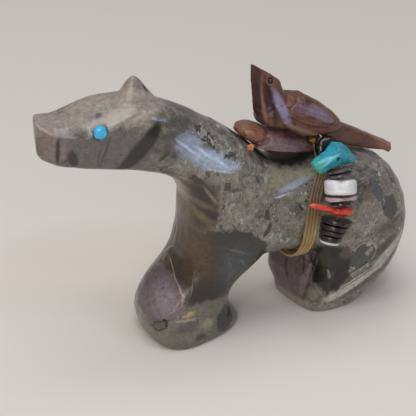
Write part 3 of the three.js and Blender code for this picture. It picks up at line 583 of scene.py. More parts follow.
    def wear(self, inlay: Inlay, grain: Socket) -> Socket:
        """The uneven gloss, made rough under the bundle stone, where the shade is painted.

        Args:
            inlay: Draws the patch of painted shade under the stone.
            grain: The grain of the stone, from 0 to 1.

        Returns:
            The wear, well above 1 under the stone.
        """
        dull = mixed(inlay.tree, 0.0, linear("#000000"), linear("#000000"))
        for clast in SHADE_UNDER_STONE:
            dull = inlay.drawn(dull, replace(clast, colour="#ffffff"))
        return add(inlay.tree, "Math", {0: dull, 1: 2.6, 2: grain}, operation="MULTIPLY_ADD").outputs[0]


@dataclass(frozen=True)
class TintedStone(Finish):
    """Solid stone, shell or coral: one rock with clouds of two tones, streaks, specks and a fine relief.

    grain is the size of its clouds in mm along X, Y and Z, so that a banded rock can be drawn long. speck is
    the colour of the specks, and speckle the share of cells of size speck_size that have one.
    """

    pale: str = "#808080"
    deep: str = "#404040"
    speck: str = "#202020"
    grain: Place = (2, 2, 2)
    speckle: float = 0.2
    speck_size: float = 0.5
    relief: float = 0.02
    relief_size: float = 0.4
    patches: tuple[Clast, ...] = ()

    def pattern(self, tree: bpy.types.NodeTree, place: Socket) -> Look:
        """Clouds and streaks of two tones, patches of their own colour, some of them painted light and shade,
        specks, and relief.

        Args:
            tree: The material's node tree.
            place: Object coordinates.

        Returns:
            The pattern.
        """
        long = add(tree, "Mapping", {"Vector": place, "Scale": [per(size) for size in self.grain]})
        clouds = add(tree, "TexNoise", {"Vector": long.outputs["Vector"], "Scale": 1, "Detail": 6,
                                        "Roughness": 0.65, "Distortion": 0.8})
        tone = add(tree, "MapRange", {"Value": clouds.outputs["Fac"], "From Min": 0.33, "From Max": 0.67})
        colour = mixed(tree, tone.outputs["Result"], linear(self.deep), linear(self.pale))
        inlay = Inlay(tree, warped(tree, place, 1.6, 0.5, 5), warped(tree, place, 2.4, 0.2))
        for patch in self.patches:
            colour = inlay.drawn(colour, patch)
        cell = add(tree, "TexVoronoi", {"Vector": warped(tree, place, self.speck_size, self.speck_size * 0.3),
                                        "Scale": per(self.speck_size)})
        near = add(tree, "MapRange", {"Value": cell.outputs["Distance"], "From Min": 0.18, "From Max": 0.34,
                                      "To Min": 0.8, "To Max": 0})
        chance = add(tree, "SeparateColor", {0: cell.outputs["Color"]})
        picked = add(tree, "Math", {0: chance.outputs[0], 1: self.speckle}, operation="LESS_THAN")
        seen = add(tree, "Math", {0: near.outputs["Result"], 1: picked.outputs[0]}, operation="MULTIPLY")
        colour = mixed(tree, seen.outputs[0], colour, linear(self.speck))
        rough = add(tree, "TexNoise", {"Vector": place, "Scale": per(self.relief_size), "Detail": 4})
        height = add(tree, "Math", {0: rough.outputs["Fac"], 1: self.relief * MM}, operation="MULTIPLY")
        return Look(colour, rough.outputs["Fac"], height.outputs[0])


# The bird's darker and lighter bands on its left: neck, shoulder, wing, the ledge under it, and the tail. The
# dark front of the neck is painted shade; the pale band on it, the lavender bands behind the neck ridge and
# on the wing, and the pale ledge are painted highlights and reflections.
BIRD_BANDS_AND_LIGHT = (
    # Painted shade: the dark front plane of the neck, with a painted highlight down it.
    Clast((5.4, 2.2, 47.0), (1.2, 3, 6.4), "#29100a", turn=(0, -4, 0), edge=0.7, strength=0.95),
    Clast((6.5, 1.5, 46.4), (0.32, 3, 4.4), "#8b6a5b", turn=(0, -3, 0), edge=0.6, strength=0.8, vein=True),
    Clast((7.7, 1.5, 45.6), (0.9, 3, 4.6), "#2c130e", turn=(0, -12, 0), edge=0.5, strength=0.9),
    # Painted reflections: the lavender band behind the neck ridge and those on the wing.
    Clast((9.4, 0.3, 44.9), (0.85, 2.6, 3.6), "#8d86a6", turn=(0, -19, 0), edge=0.5, strength=0.85),
    Clast((13.2, 0.6, 43.8), (1.2, 2.4, 1.2), "#6e5a63", edge=0.6, strength=0.7),
    Clast((17.0, 0.0, 42.2), (3.0, 2.4, 0.9), "#84778f", turn=(0, 27, 0), edge=0.5, strength=0.75),
    Clast((19.0, 0.2, 40.3), (2.2, 2.0, 0.45), "#84778f", turn=(0, 22, 0), edge=0.5, strength=0.6),
    # Painted highlight: the pale ledge under the wing.
    Clast((13.0, -1.0, 40.0), (3.4, 1.5, 0.35), "#84725f", turn=(0, 31, 0), edge=0.5, strength=0.5),
    Clast((22.6, 1.0, 38.0), (2.2, 2.4, 0.8), "#5a4a55", turn=(0, 32, 0), edge=0.5, strength=0.6),
    Clast((33.5, 3.3, 30.6), (3.4, 2.4, 1.3), "#8a5f48", turn=(0, 35, 0), edge=0.5, strength=0.8),
)
# The stone's warm front lobe and the greyer band along its blade.
FLAKE_PATCHES = (
    Clast((3.4, 1.6, 39.9), (3.4, 3.6, 1.9), "#7d5138", edge=0.35, strength=0.85),
    Clast((10.0, -1.0, 37.0), (5.0, 2.5, 0.8), "#6f6064", turn=(0, 14, 0), edge=0.5, strength=0.7),
)
# The nugget's green end, a pale streak that is partly a painted reflection, and the dark of its pit, which is
# painted shade.
NUGGET_PATCHES_AND_LIGHT = (
    # Partly painted reflection: the pale streak.
    seam((13.4, -7.4, 34.4), (17.6, -7.8, 37.0), 0.5, "#7fd0dc", 2, 0.6),
    Clast((13.4, -6.0, 34.5), (1.7, 2.4, 1.8), "#35a292", edge=0.5, strength=0.8),
    # Painted shade: the dark in the pit.
    Clast((17.5, -7.7, 35.8), (0.34, 0.8, 0.34), "#0b222b", edge=0.25, vein=True),
)


@dataclass(frozen=True)
class Fibre(Finish):
    """Dried sinew: flat translucent strands with fibres along them, waxy, amber where they are thin.

    along is the size in mm of the fibre streaks on X, Y and Z; the strands run round the barrel, so they are
    short on X and long on the other two. The upper part is painted darker, as shade: below the height
    low_from the colour changes to the golden one, which is full at low_to.
    """

    pale: str = "#85765c"
    deep: str = "#63563f"
    low_pale: str = "#b09a68"
    low_deep: str = "#8c754a"
    low_from: float = 26
    low_to: float = 20
    along: Place = (0.12, 3.0, 3.0)
    relief: float = 0.05

    def pattern(self, tree: bpy.types.NodeTree, place: Socket) -> Look:
        """Fibres along the strand over slow changes of tone.

        Args:
            tree: The material's node tree.
            place: Object coordinates.

        Returns:
            The pattern.
        """
        long = add(tree, "Mapping", {"Vector": place, "Scale": [per(size) for size in self.along]})
        fibres = add(tree, "TexNoise", {"Vector": long.outputs["Vector"], "Scale": 1, "Detail": 3,
                                        "Roughness": 0.6})
        slow = add(tree, "TexNoise", {"Vector": place, "Scale": per(4), "Detail": 2})
        both = add(tree, "Math", {0: fibres.outputs["Fac"], 1: 0.6, 2: slow.outputs["Fac"]},
                   operation="MULTIPLY_ADD")
        tone = add(tree, "MapRange", {"Value": both.outputs[0], "From Min": 0.6, "From Max": 1.0})
        # Painted shade: darker above low_from, golden below.
        axes = add(tree, "SeparateXYZ", {0: place})
        low = add(tree, "MapRange", {"Value": axes.outputs["Z"], "From Min": self.low_from * MM,
                                     "From Max": self.low_to * MM})
        deep = mixed(tree, low.outputs["Result"], linear(self.deep), linear(self.low_deep))
        pale = mixed(tree, low.outputs["Result"], linear(self.pale), linear(self.low_pale))
        colour = mixed(tree, tone.outputs["Result"], deep, pale)
        height = add(tree, "Math", {0: fibres.outputs["Fac"], 1: self.relief * MM}, operation="MULTIPLY")
        return Look(colour, fibres.outputs["Fac"], height.outputs[0])


class Finishes(Enum):
    """The finishes of the object, each named for the real material."""

    # Hand-polished breccia: a waxed gloss over fragments of many greys.
    BRECCIA = Breccia("polished breccia", "breccia", roughness=0.2, worn=0.2, ior=1.54, coat=0.2)
    # Turquoise cabochon: even sky blue, waxy, hardly any matrix.
    EYE = TintedStone("turquoise inlay", "turquoise", 0.2, 0.12, 1.61, 0.2, pale="#42c8f8", deep="#1fa6e6",
                      speck="#0f7fb4", grain=(1, 1, 1), speckle=0.1, speck_size=0.5, relief=0.01)
    # Tumbled turquoise nugget: greener, with pale clouds, a pale streak that is partly a painted reflection,
    # and a satin skin.
    NUGGET = TintedStone("tumbled turquoise", "turquoise", 0.26, 0.2, 1.61, 0.1, pale="#30a8c2",
                         deep="#127a92", speck="#2d7f6a", grain=(2.4, 2.4, 1.4), speckle=0.15,
                         speck_size=0.8, relief=0.05, relief_size=0.7, patches=NUGGET_PATCHES_AND_LIGHT)
    # Carved pipestone: dense red-brown claystone, polished, with darker and paler bands along the grain; its
    # lavender bands are painted reflections.
    PIPESTONE = TintedStone("carved pipestone", "pipestone", 0.24, 0.2, 1.47, 0.0, pale="#74503f",
                            deep="#4e302a", speck="#33211f", grain=(5, 5, 1.6), speckle=0.14,
                            speck_size=0.6, relief=0.02, relief_size=0.5, patches=BIRD_BANDS_AND_LIGHT)
    # Flaked red-brown stone: duller, with glints on its flake scars.
    FLAKED = TintedStone("flaked red stone", "red_stone", 0.22, 0.25, 1.54, pale="#8c6f6c", deep="#5c4541",
                         speck="#2f201d", grain=(3, 3, 1.2), speckle=0.2, speck_size=0.7, relief=0.06,
                         relief_size=0.6, patches=FLAKE_PATCHES)
    # Raw orange chips: bright translucent chalcedony.
    CHIP = TintedStone("orange chalcedony chip", "orange_stone", 0.3, 0.2, 1.54, glow=0.2, pale="#d58a5a",
                       deep="#ae5f3c", speck="#dba684", grain=(0.8, 0.8, 0.8), relief=0.04, relief_size=0.3)
    # Jet: a black glossy bead with a glassy polish.
    JET = TintedStone("polished jet", "jet", 0.12, 0.15, 1.66, 0.3, pale="#1d171b", deep="#0c090c",
                      speck="#2e282b", grain=(2, 2, 2), relief=0.01, relief_size=0.8)
    # Drilled shell: chalk white, slightly glossy, faint growth lines.
    SHELL = TintedStone("white shell", "shell", 0.24, 0.18, 1.53, 0.1, 0.2, 0.5, pale="#e4e4e8",
                        deep="#c9c8cc", speck="#b9b4b0", grain=(4, 4, 0.5), speckle=0.1, relief=0.015)
    # Pink-white shell, thinner and a little greyer.
    PINK_SHELL = TintedStone("pink shell", "pink_shell", 0.26, 0.2, 1.53, 0.1, 0.15, 0.4, pale="#c8b9ba",
                             deep="#9a8685", speck="#75605d", grain=(3, 3, 0.4), relief=0.02)
    # Mussel shell: mauve-brown and olive-grey layers with a pearly polish.
    MUSSEL = TintedStone("mussel shell", "mussel_shell", 0.22, 0.2, 1.53, 0.2, 0.05, 0.3, pale="#6a5a5c",
                         deep="#2a2024", speck="#9a8f80", grain=(2.5, 2.5, 0.3), relief=0.02)
    # Polished red coral with faint lengthwise growth lines.
    CORAL = TintedStone("red coral", "coral", 0.25, 0.15, 1.55, 0.15, 0.15, 0.5, pale="#e8553c",
                        deep="#b83022", speck="#f08a68", grain=(2.5, 1, 0.5), speckle=0.1, relief=0.03,
                        relief_size=0.5)
    # Heishi: thin ground discs of dark brown shell.
    HEISHI = TintedStone("dark heishi", "heishi", 0.2, 0.2, 1.53, 0.3, pale="#281b1c", deep="#120c0d",
                         speck="#5a4743", grain=(2, 2, 0.4), speckle=0.12, relief=0.03, relief_size=0.5)
    # Dried sinew, split fine and wound on wet.
    SINEW = Fibre("dried sinew", "sinew", 0.34, 0.25, 1.5, glow=0.5, glow_depth=0.7)
    # The bead string's thread: the same sinew, rolled.
    THREAD = Fibre("rolled sinew thread", "sinew", 0.45, 0.2, 1.5, along=(0.2, 0.2, 1.0))


def only(piece: Piece) -> None:
    """Selects one piece alone and makes it the active one.

    Args:
        piece: The piece.
    """
    bpy.ops.object.select_all(action="DESELECT")
    piece.select_set(True)
    bpy.context.view_layer.objects.active = piece


def pick_faces(piece: Piece, wanted: Callable[[bmesh.types.BMFace], bool]) -> None:
    """Selects the faces of a piece in edit mode.

    Args:
        piece: The piece in edit mode.
        wanted: Says of a face whether it is selected.
    """
    bpy.ops.mesh.select_mode(type="FACE")
    mesh = bmesh.from_edit_mesh(piece.data)
    for face in mesh.faces:
        face.select_set(wanted(face))
    mesh.select_flush_mode()
    bmesh.update_edit_mesh(piece.data)


def pick_edges(piece: Piece, wanted: Callable[[bmesh.types.BMEdge], bool]) -> None:
    """Selects the edges of a piece in edit mode.

    Args:
        piece: The piece in edit mode.
        wanted: Says of an edge whether it is selected.
    """
    bpy.ops.mesh.select_mode(type="EDGE")
    mesh = bmesh.from_edit_mesh(piece.data)
    for edge in mesh.edges:
        edge.select_set(wanted(edge))
    mesh.select_flush_mode()
    bmesh.update_edit_mesh(piece.data)


def apply_all(piece: Piece) -> None:
    """Applies every modifier of a piece, then its place, so that the object ends at the origin.

    Args:
        piece: The piece.
    """
    only(piece)
    for modifier in list(piece.modifiers):
        bpy.ops.object.modifier_apply(modifier=modifier.name)
    bpy.ops.object.transform_apply(location=True, rotation=True, scale=True)


def carve(piece: Piece, depth: Callable[[Vector, Vector], float]) -> None:
    """Moves the vertices of a piece along their normals.

    Args:
        piece: The piece.
        depth: Gives the move outwards in mm for a vertex's place and normal, both in mm units.
    """
    moves = [depth(v.co / MM, v.normal.copy()) for v in piece.data.vertices]
    normals = [v.normal.copy() for v in piece.data.vertices]
    for vertex, normal, move in zip(piece.data.vertices, normals, moves):
        vertex.co += normal * (move * MM)
    piece.data.update()


def off_line(at: Vector, line: tuple[tuple[float, ...], ...]) -> float:
    """The distance from a point to a line of straight parts, in mm.

    Args:
        at: The point, with as many numbers as the line's points.
        line: The line's points in turn.

    Returns:
        The shortest distance.
    """
    best = math.inf
    for start, end in zip(line, line[1:]):
        first = Vector(start)
        along = Vector(end) - first
        share = min(1.0, max(0.0, (at - first).dot(along) / along.length_squared))
        best = min(best, (at - first - along * share).length)
    return best


def bulge(distance: float, width: float) -> float:
    """A soft bump that is 1 at no distance and fades over a width."""
    return math.exp(-(distance / width) ** 2)


def stroke(distance: float, cut: tuple[float, float]) -> float:
    """A soft bump of a cut's height and width, in mm."""
    return cut[0] * bulge(distance, cut[1])


def refined(node: str, name: str, voxel: float, passes: int) -> Piece:
    """A finer copy of a CAD solid: remeshed in small even faces, with its flat faces melted together.

    Args:
        node: The CAD node.
        name: The new piece's name.
        voxel: The new face size in mm.
        passes: How often the surface is smoothed.

    Returns:
        The new piece.
    """
    piece = bpy.data.objects.new(name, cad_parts[node].data.copy())
    bpy.context.scene.collection.objects.link(piece)
    only(piece)
    bpy.ops.object.mode_set(mode="EDIT")
    bpy.ops.mesh.select_all(action="SELECT")
    bpy.ops.mesh.remove_doubles(threshold=0.001 * MM)
    bpy.ops.object.mode_set(mode="OBJECT")
    remesh = piece.modifiers.new("even faces", "REMESH")
    remesh.mode = "VOXEL"
    remesh.voxel_size = voxel * MM
    if passes:
        smooth = piece.modifiers.new("polish", "SMOOTH")
        smooth.factor = 0.5
        smooth.iterations = passes
    apply_all(piece)
    return piece


def dress(piece: Piece, finish: Finishes, *nodes: str) -> Piece:
    """Gives a finished piece its material and its place on the horse.

    Args:
        piece: The piece.
        finish: Its finish.
        *nodes: The CAD nodes it stands for.

    Returns:
        The same piece.
    """
    piece.data.materials.clear()
    piece.data.materials.append(finish.value.material())
    only(piece)
    bpy.ops.object.shade_smooth_by_angle(angle=math.radians(42))
    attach(piece, BODY)
    if nodes:
        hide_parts(*nodes)
    log.info("%s: %d faces, %s", piece.name, len(piece.data.polygons), finish.value.name)
    return piece


@dataclass
class Horse:
    """The carved horse and its two inlaid eyes."""

    voxel: float = 0.3
    polish: int = 3
    body_polish: int = 14
    head_ends: tuple[float, float] = (-18, -10)
    ridge_rise: float = 0.24
    ridge_width: float = 0.5
    # Hollows of the grinding: the depth and the size of the broad ones and of the small ones.
    broad_hollow: tuple[float, float] = (0.16, 6.5)
    small_hollow: tuple[float, float] = (0.05, 2.2)
    # The bundle is bedded between these places on X, so the top of the stone stays full there.
    bed: tuple[float, float] = (-3, 18)
    bed_rise: float = 0.06
    # The crisp edge between the top of the head and its left side, from the muzzle over the eye to the ear.
    ridge: tuple[Place, ...] = (
        (-36.2, 7.5, 47.4), (-35.1, 6.5, 46.8), (-33.7, 5.3, 46.0), (-32.1, 4.0, 45.7), (-30.5, 2.7, 45.5),
        (-28.8, 1.7, 46.0), (-26.6, 1.1, 47.0), (-24.4, 0.9, 47.9), (-21.9, 0.8, 48.9), (-19.8, 1.0, 49.6),
        (-15.7, 2.1, 49.6))
    eye_radius: float = 1.14
    eye_depth: float = 1.1
    # The dome of an eye, ring by ring towards its middle: how far each ring is set in, and how much it rises.
    eye_dome: tuple[tuple[float, float], ...] = ((0.16, 0.16), (0.22, 0.1), (0.28, 0.06), (0.26, 0.02))
    eye_axes: tuple[tuple[str, Place], ...] = (
        ("eye_left", (-0.24, -0.96, -0.12)), ("eye_right", (0.24, 0.96, -0.12)))

    def polish_body(self, piece: Piece) -> None:
        """Smooths the body more than the head, whose edges stay crisp.

        Args:
            piece: The horse's stone.
        """
        crisp, soft = self.head_ends
        group = piece.vertex_groups.new(name="body")
        for vertex in piece.data.vertices:
            weight = (vertex.co.x / MM - crisp) / (soft - crisp)
            if weight > 0:
                group.add([vertex.index], min(1.0, weight), "REPLACE")
        smooth = piece.modifiers.new("body polish", "SMOOTH")
        smooth.factor = 0.5
        smooth.iterations = self.body_polish
        smooth.vertex_group = group.name
        apply_all(piece)
        piece.vertex_groups.clear()

    def relief(self, at: Vector, normal: Vector) -> float:
        """The hollows that grinding leaves, and the raised edge along the left side of the head.

        Args:
            at: The vertex's place in mm.
            normal: The surface's direction there.

        Returns:
            The move outwards in mm.
        """
        if self.bed[0] < at.x < self.bed[1] and normal.z > 0.3:
            return self.bed_rise
        hollow = sum(depth * (noise.noise(at / size) - 0.5)
                     for depth, size in (self.broad_hollow, self.small_hollow))
        if at.x > self.head_ends[1] or normal.y > 0.4:
            return hollow
        return hollow + self.ridge_rise * bulge(off_line(at, self.ridge), self.ridge_width)

    def body(self) -> Piece:
        """The stone itself, from the solid's shape.

        Returns:
            The finished stone.
        """
        piece = refined("horse", "horse_stone", self.voxel, self.polish)
        self.polish_body(piece)
        carve(piece, self.relief)
        return dress(piece, Finishes.BRECCIA, "horse")

    def eye(self, node: str, axis: Place) -> Piece:
        """One inlaid eye: a round cabochon, domed, a little uneven at its rim.

        Args:
            node: The CAD node that it stands for.
            axis: The direction it looks in.

        Returns:
            The finished eye.
        """
        low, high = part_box(node)
        turn = Vector(axis).to_track_quat("Z", "Y").to_euler()
        bpy.ops.object.select_all(action="DESELECT")
        bpy.ops.mesh.primitive_cylinder_add(vertices=40, radius=self.eye_radius * MM,
                                            depth=self.eye_depth * MM, location=(low + high) / 2,
                                            rotation=turn)
        piece = bpy.context.object
        piece.name = node.replace("eye", "turquoise_eye")
        bpy.ops.object.mode_set(mode="EDIT")
        pick_faces(piece, lambda face: face.normal.z > 0.9)
        for inset, rise in self.eye_dome:
            bpy.ops.mesh.inset(thickness=inset * MM, depth=rise * MM)
        bpy.ops.object.mode_set(mode="OBJECT")
        apply_all(piece)
        carve(piece, lambda at, normal: 0.05 * noise.noise(at * 1.3))
        return dress(piece, Finishes.EYE, node)

    def build(self) -> None:
        """Makes the horse and its eyes."""
        self.body()
        for node, axis in self.eye_axes:
            self.eye(node, axis)


@dataclass
class Bundle:
    """The bird, the stone under it and the two orange chips.

    The lines of the carving are places (x, z) in mm. A cut or a rise is given as its height and width.
    """

    bird_voxel: float = 0.12
    stone_voxel: float = 0.14
    bird_eye_radius: float = 0.42
    neck_ridge: tuple[tuple[float, float], ...] = ((7.7, 49.0), (8.6, 46.0), (9.9, 42.0))
    wing_edge: tuple[tuple[float, float], ...] = (
        (10.7, 42.6), (13.2, 41.0), (16.2, 39.5), (18.8, 38.9), (21.3, 39.3))
    wing_front: tuple[tuple[float, float], ...] = ((10.7, 42.6), (11.4, 44.4), (13.4, 45.2))
    neck_rise: tuple[float, float] = (0.16, 0.4)
    neck_cut: tuple[float, float] = (0.3, 0.7)
    wing_cut: tuple[float, float] = (0.32, 0.24)
    front_cut: tuple[float, float] = (0.16, 0.2)
    # The feathers lie between these ends on X, above a slope that starts at the lowest place of the wing.
    wing_ends: tuple[float, float] = (12.0, 21.8)
    wing_low: tuple[float, float] = (21.3, 38.9)
    wing_slope: float = 0.315
    feather_step: float = 0.8
    feather_cut: float = 0.14
    scar_size: float = 2.3
    scar_depth: float = 0.42
    groove_cut: tuple[float, float] = (0.5, 0.3)
    lobe_drop: float = 0.1
    lobe_end: float = 5
    lobe_groove: tuple[tuple[float, float], ...] = ((2.4, 38.2), (3.9, 38.3), (6.5, 38.7), (7.4, 40.1))

    def plumage(self, at: Vector, normal: Vector) -> float:
        """The ridge down the bird's neck, the outlines of its wings and their feather strokes.

        Args:
            at: The vertex's place in mm.
            normal: The surface's direction there.

        Returns:
            The move outwards in mm.
        """
        uneven = 0.06 * (noise.noise(at / 1.5) - 0.5)
        if abs(normal.y) < 0.25:
            return uneven
        flat = Vector((at.x, at.z))
        ridge = off_line(flat, self.neck_ridge)
        fore = off_line(flat + Vector((1.2, 0.2)), self.neck_ridge)
        edge = off_line(flat, self.wing_edge)
        front = off_line(flat, self.wing_front)
        cut = stroke(ridge, self.neck_rise) - stroke(fore, self.neck_cut)
        cut -= stroke(edge, self.wing_cut) + stroke(front, self.front_cut)
        above_edge = at.z > self.wing_low[1] + self.wing_slope * abs(self.wing_low[0] - at.x)
        on_wing = self.wing_ends[0] < at.x < self.wing_ends[1] and above_edge
        if not on_wing:
            return uneven + cut
        across = (at.x * 0.47 + at.z * 0.88) / self.feather_step
        short = (at.x * 0.95 - at.z * 0.2) / (self.feather_step * 1.5)
        barbs = max(0.0, math.cos(across * math.tau)) ** 8 + 0.6 * max(0.0, math.cos(short * math.tau)) ** 10
        return uneven + cut - self.feather_cut * barbs

    def flakes(self, at: Vector, normal: Vector) -> float:
        """Shell-like flake scars, sharp where two meet, and the groove between the lobe and the blade.

        Args:
            at: The vertex's place in mm.
            normal: The surface's direction there.

        Returns:
            The move outwards in mm.
        """
        near = noise.voronoi(at / self.scar_size)[0][0]
        scar = -self.scar_depth * max(0.0, 0.6 - near) - 0.08 * abs(noise.noise(at / 0.7))
        if normal.z < -0.3:
            # The underside of the lobe rests lower than the blade, close to the horse.
            return self.lobe_drop if at.x < self.lobe_end else 0.0
        groove = off_line(Vector((at.x, at.z)), self.lobe_groove) if normal.y < 0 else 9
        return scar - stroke(groove, self.groove_cut)

    def bird(self) -> Piece:
        """The carved bird.

        Returns:
            The finished bird.
        """
        piece = refined("bird", "pipestone_bird", self.bird_voxel, 3)
        carve(piece, self.plumage)
        return dress(piece, Finishes.PIPESTONE, "bird")

    def bird_eye(self, node: str) -> Piece:
        """A bird's eye: a small black bead let into its head.

        Args:
            node: The CAD node that it stands for.

        Returns:
            The finished eye.
        """
        low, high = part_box(node)
        bpy.ops.object.select_all(action="DESELECT")
        bpy.ops.mesh.primitive_uv_sphere_add(segments=24, ring_count=14, radius=self.bird_eye_radius * MM,
                                             location=(low + high) / 2)
        piece = bpy.context.object
        piece.name = node.replace("bird_eye", "jet_bird_eye")
        bpy.ops.object.mode_set(mode="EDIT")
        bpy.ops.mesh.select_all(action="SELECT")
        bpy.ops.transform.resize(value=(1.0, 0.9, 1.05), center_override=(low + high) / 2)
        bpy.ops.object.mode_set(mode="OBJECT")
        apply_all(piece)
        return dress(piece, Finishes.JET, node)

    def stone(self) -> Piece:
        """The bundle stone, flaked to a blunt arrowhead.

        Returns:
            The finished stone.
        """
        piece = refined("arrowhead_stone", "arrowhead", self.stone_voxel, 2)
        carve(piece, self.flakes)
        return dress(piece, Finishes.FLAKED, "arrowhead_stone")

    def chip(self, node: str) -> Piece:
        """One orange chip, broken and not polished.

        Args:
            node: The CAD node that it stands for.

        Returns:
            The finished chip.
        """
        piece = refined(node, f"orange_{node}", 0.08, 1)
        carve(piece, lambda at, normal: -0.06 - 0.14 * abs(noise.noise(at * 2.2)))
        return dress(piece, Finishes.CHIP, node)

    def build(self) -> None:
        """Makes the bundle's pieces."""
        self.bird()
        self.bird_eye("bird_eye_left")
        self.bird_eye("bird_eye_right")
        self.stone()
        self.chip("chip_front")
        self.chip("chip_back")


@dataclass
class Binding:
    """The sinew wound round the barrel and over the bundle stone, four strands side by side."""

    strands: int = 4
    # The strands lie closer on top, at the first height in mm, than low on the barrel, at the second.
    close_to_wide: tuple[float, float] = (38, 22)
    spread: tuple[float, float] = (0.0, 0.07)
    # Rounding a strand takes this off its radius, and pressing it gives it back.
    regained: float = 0.045
    fray: float = 0.04

    def pressed(self, at: Vector, normal: Vector) -> float:
        """How far a strand is pressed out sideways, until it nearly meets the next one, and its fibres.

        Args:
            at: The vertex's place in mm.
            normal: The surface's direction there.

        Returns:
            The move outwards in mm.
        """
        top, low = self.close_to_wide
        share = min(1.0, max(0.0, (top - at.z) / (top - low)))
        sideways = self.spread[0] + share * (self.spread[1] - self.spread[0])
        # The fibres are short across the strand, on X, and long round the barrel.
        fibres = noise.noise(Vector((at.x * 9, at.y * 0.7, at.z * 0.7)))
        return self.regained + sideways * abs(normal.x) - self.fray * abs(fibres)

    def strand(self, index: int) -> Piece:
        """One strand, rounded and then pressed and frayed as drying sinew is.

        Args:
            index: Its number, from 1.

        Returns:
            The finished strand.
        """
        node = f"sinew_{index}"
        piece = bpy.data.objects.new(f"sinew_strand_{index}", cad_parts[node].data.copy())
        bpy.context.scene.collection.objects.link(piece)
        only(piece)
        bpy.ops.object.mode_set(mode="EDIT")
        bpy.ops.mesh.select_all(action="SELECT")
        bpy.ops.mesh.remove_doubles(threshold=0.001 * MM)
        bpy.ops.mesh.tris_convert_to_quads()
        bpy.ops.object.mode_set(mode="OBJECT")
        rounder = piece.modifiers.new("round", "SUBSURF")
        rounder.levels = rounder.render_levels = 2
        apply_all(piece)
        carve(piece, self.pressed)
        return dress(piece, Finishes.SINEW, node)

    def build(self) -> None:
        """Makes every strand."""
        for index in range(1, self.strands + 1):
            self.strand(index)


@dataclass(frozen=True)
class Bead:
    """One turned bead.

    Lengths are in mm, axis is the way its bore runs, uneven is how far its rim wanders, and dents are chips:
    place, reach and depth.
    """

    node: str
    finish: Finishes
    radius: float
    length: float
    axis: Place
    rim: float = 0.15
    uneven: float = 0.04
    bore: float = 0.5
    dents: tuple[tuple[Place, float, float], ...] = ()

    def wear(self, at: Vector, normal: Vector) -> float:
        """The bead's uneven skin and its chips.

        Args:
            at: The vertex's place in mm.
            normal: The surface's direction there; not used.

        Returns:
            The move outwards in mm.
        """
        depth = self.uneven * (noise.noise(at * 0.9) - 0.5)
        for place, reach, deep in self.dents:
            depth -= deep * bulge((at - Vector(place)).length, reach)
        return depth

    def make(self) -> Piece:
        """Turns the bead, bores it, rounds its rims and sets it on the thread.

        Returns:
            The finished bead.
        """
        low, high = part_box(self.node)
        turn = Vector(self.axis).to_track_quat("Z", "Y").to_euler()
        bpy.ops.object.select_all(action="DESELECT")
        bpy.ops.mesh.primitive_cylinder_add(vertices=56, radius=self.radius * MM, depth=self.length * MM,
                                            location=(low + high) / 2, rotation=turn)
        piece = bpy.context.object
        piece.name = f"{self.node}_piece"
        bpy.ops.object.mode_set(mode="EDIT")
        pick_faces(piece, lambda face: abs(face.normal.z) > 0.9)
        bpy.ops.mesh.inset(thickness=(self.radius - self.bore) * MM, depth=0, use_individual=True)
        bpy.ops.mesh.bridge_edge_loops()
        inner = self.radius * 0.95 * MM
        pick_edges(piece, lambda edge: all(math.hypot(v.co.x, v.co.y) > inner for v in edge.verts)
                   and abs(edge.verts[0].co.z - edge.verts[1].co.z) < 1e-6)
        bpy.ops.mesh.bevel(offset=self.rim * MM, segments=4, profile=0.5, affect="EDGES")
        bpy.ops.object.mode_set(mode="OBJECT")
        apply_all(piece)
        carve(piece, self.wear)
        return dress(piece, self.finish, self.node)


# Beads from the top of the string down; the bores follow the thread.
FLAT = (-0.05, 0.43, 0.9)
LEANING = (0.12, 0.38, 0.92)
DOWN = (0.3, 0.2, 0.93)
# Chipped rims: place, reach and depth.
WHITE_DENT = ((16.47, -10.75, 33.1), 0.8, 1.1)
PINK_DENT = ((17.0, -12.0, 29.6), 1.2, 0.35)
BEADS = (
    Bead("jet_bead", Finishes.JET, 2.36, 2.4, (-0.03, 0.89, -0.46), 0.8),
    Bead("shell_disc_1", Finishes.MUSSEL, 2.88, 0.5, FLAT, 0.12, 0.1),
    Bead("shell_disc_2", Finishes.MUSSEL, 2.28, 0.6, FLAT, 0.12, 0.1),
    Bead("white_bead", Finishes.SHELL, 3.08, 2.88, (0.16, 0.38, 0.91), 0.6, dents=(WHITE_DENT,)),
    Bead("pink_disc", Finishes.PINK_SHELL, 2.98, 0.8, LEANING, 0.15, dents=(PINK_DENT,)),
    Bead("black_disc", Finishes.JET, 2.18, 0.5, LEANING, 0.12),
    Bead("heishi_1", Finishes.HEISHI, 3.08, 0.95, DOWN, 0.2, 0.12),
    Bead("heishi_2", Finishes.HEISHI, 2.88, 0.95, DOWN, 0.2, 0.12),
    Bead("heishi_3", Finishes.HEISHI, 2.58, 0.95, DOWN, 0.2, 0.12),
    Bead("heishi_4", Finishes.HEISHI, 2.28, 0.95, DOWN, 0.2, 0.12),
    Bead("end_disc", Finishes.SHELL, 1.88, 0.5, DOWN, 0.12),
)


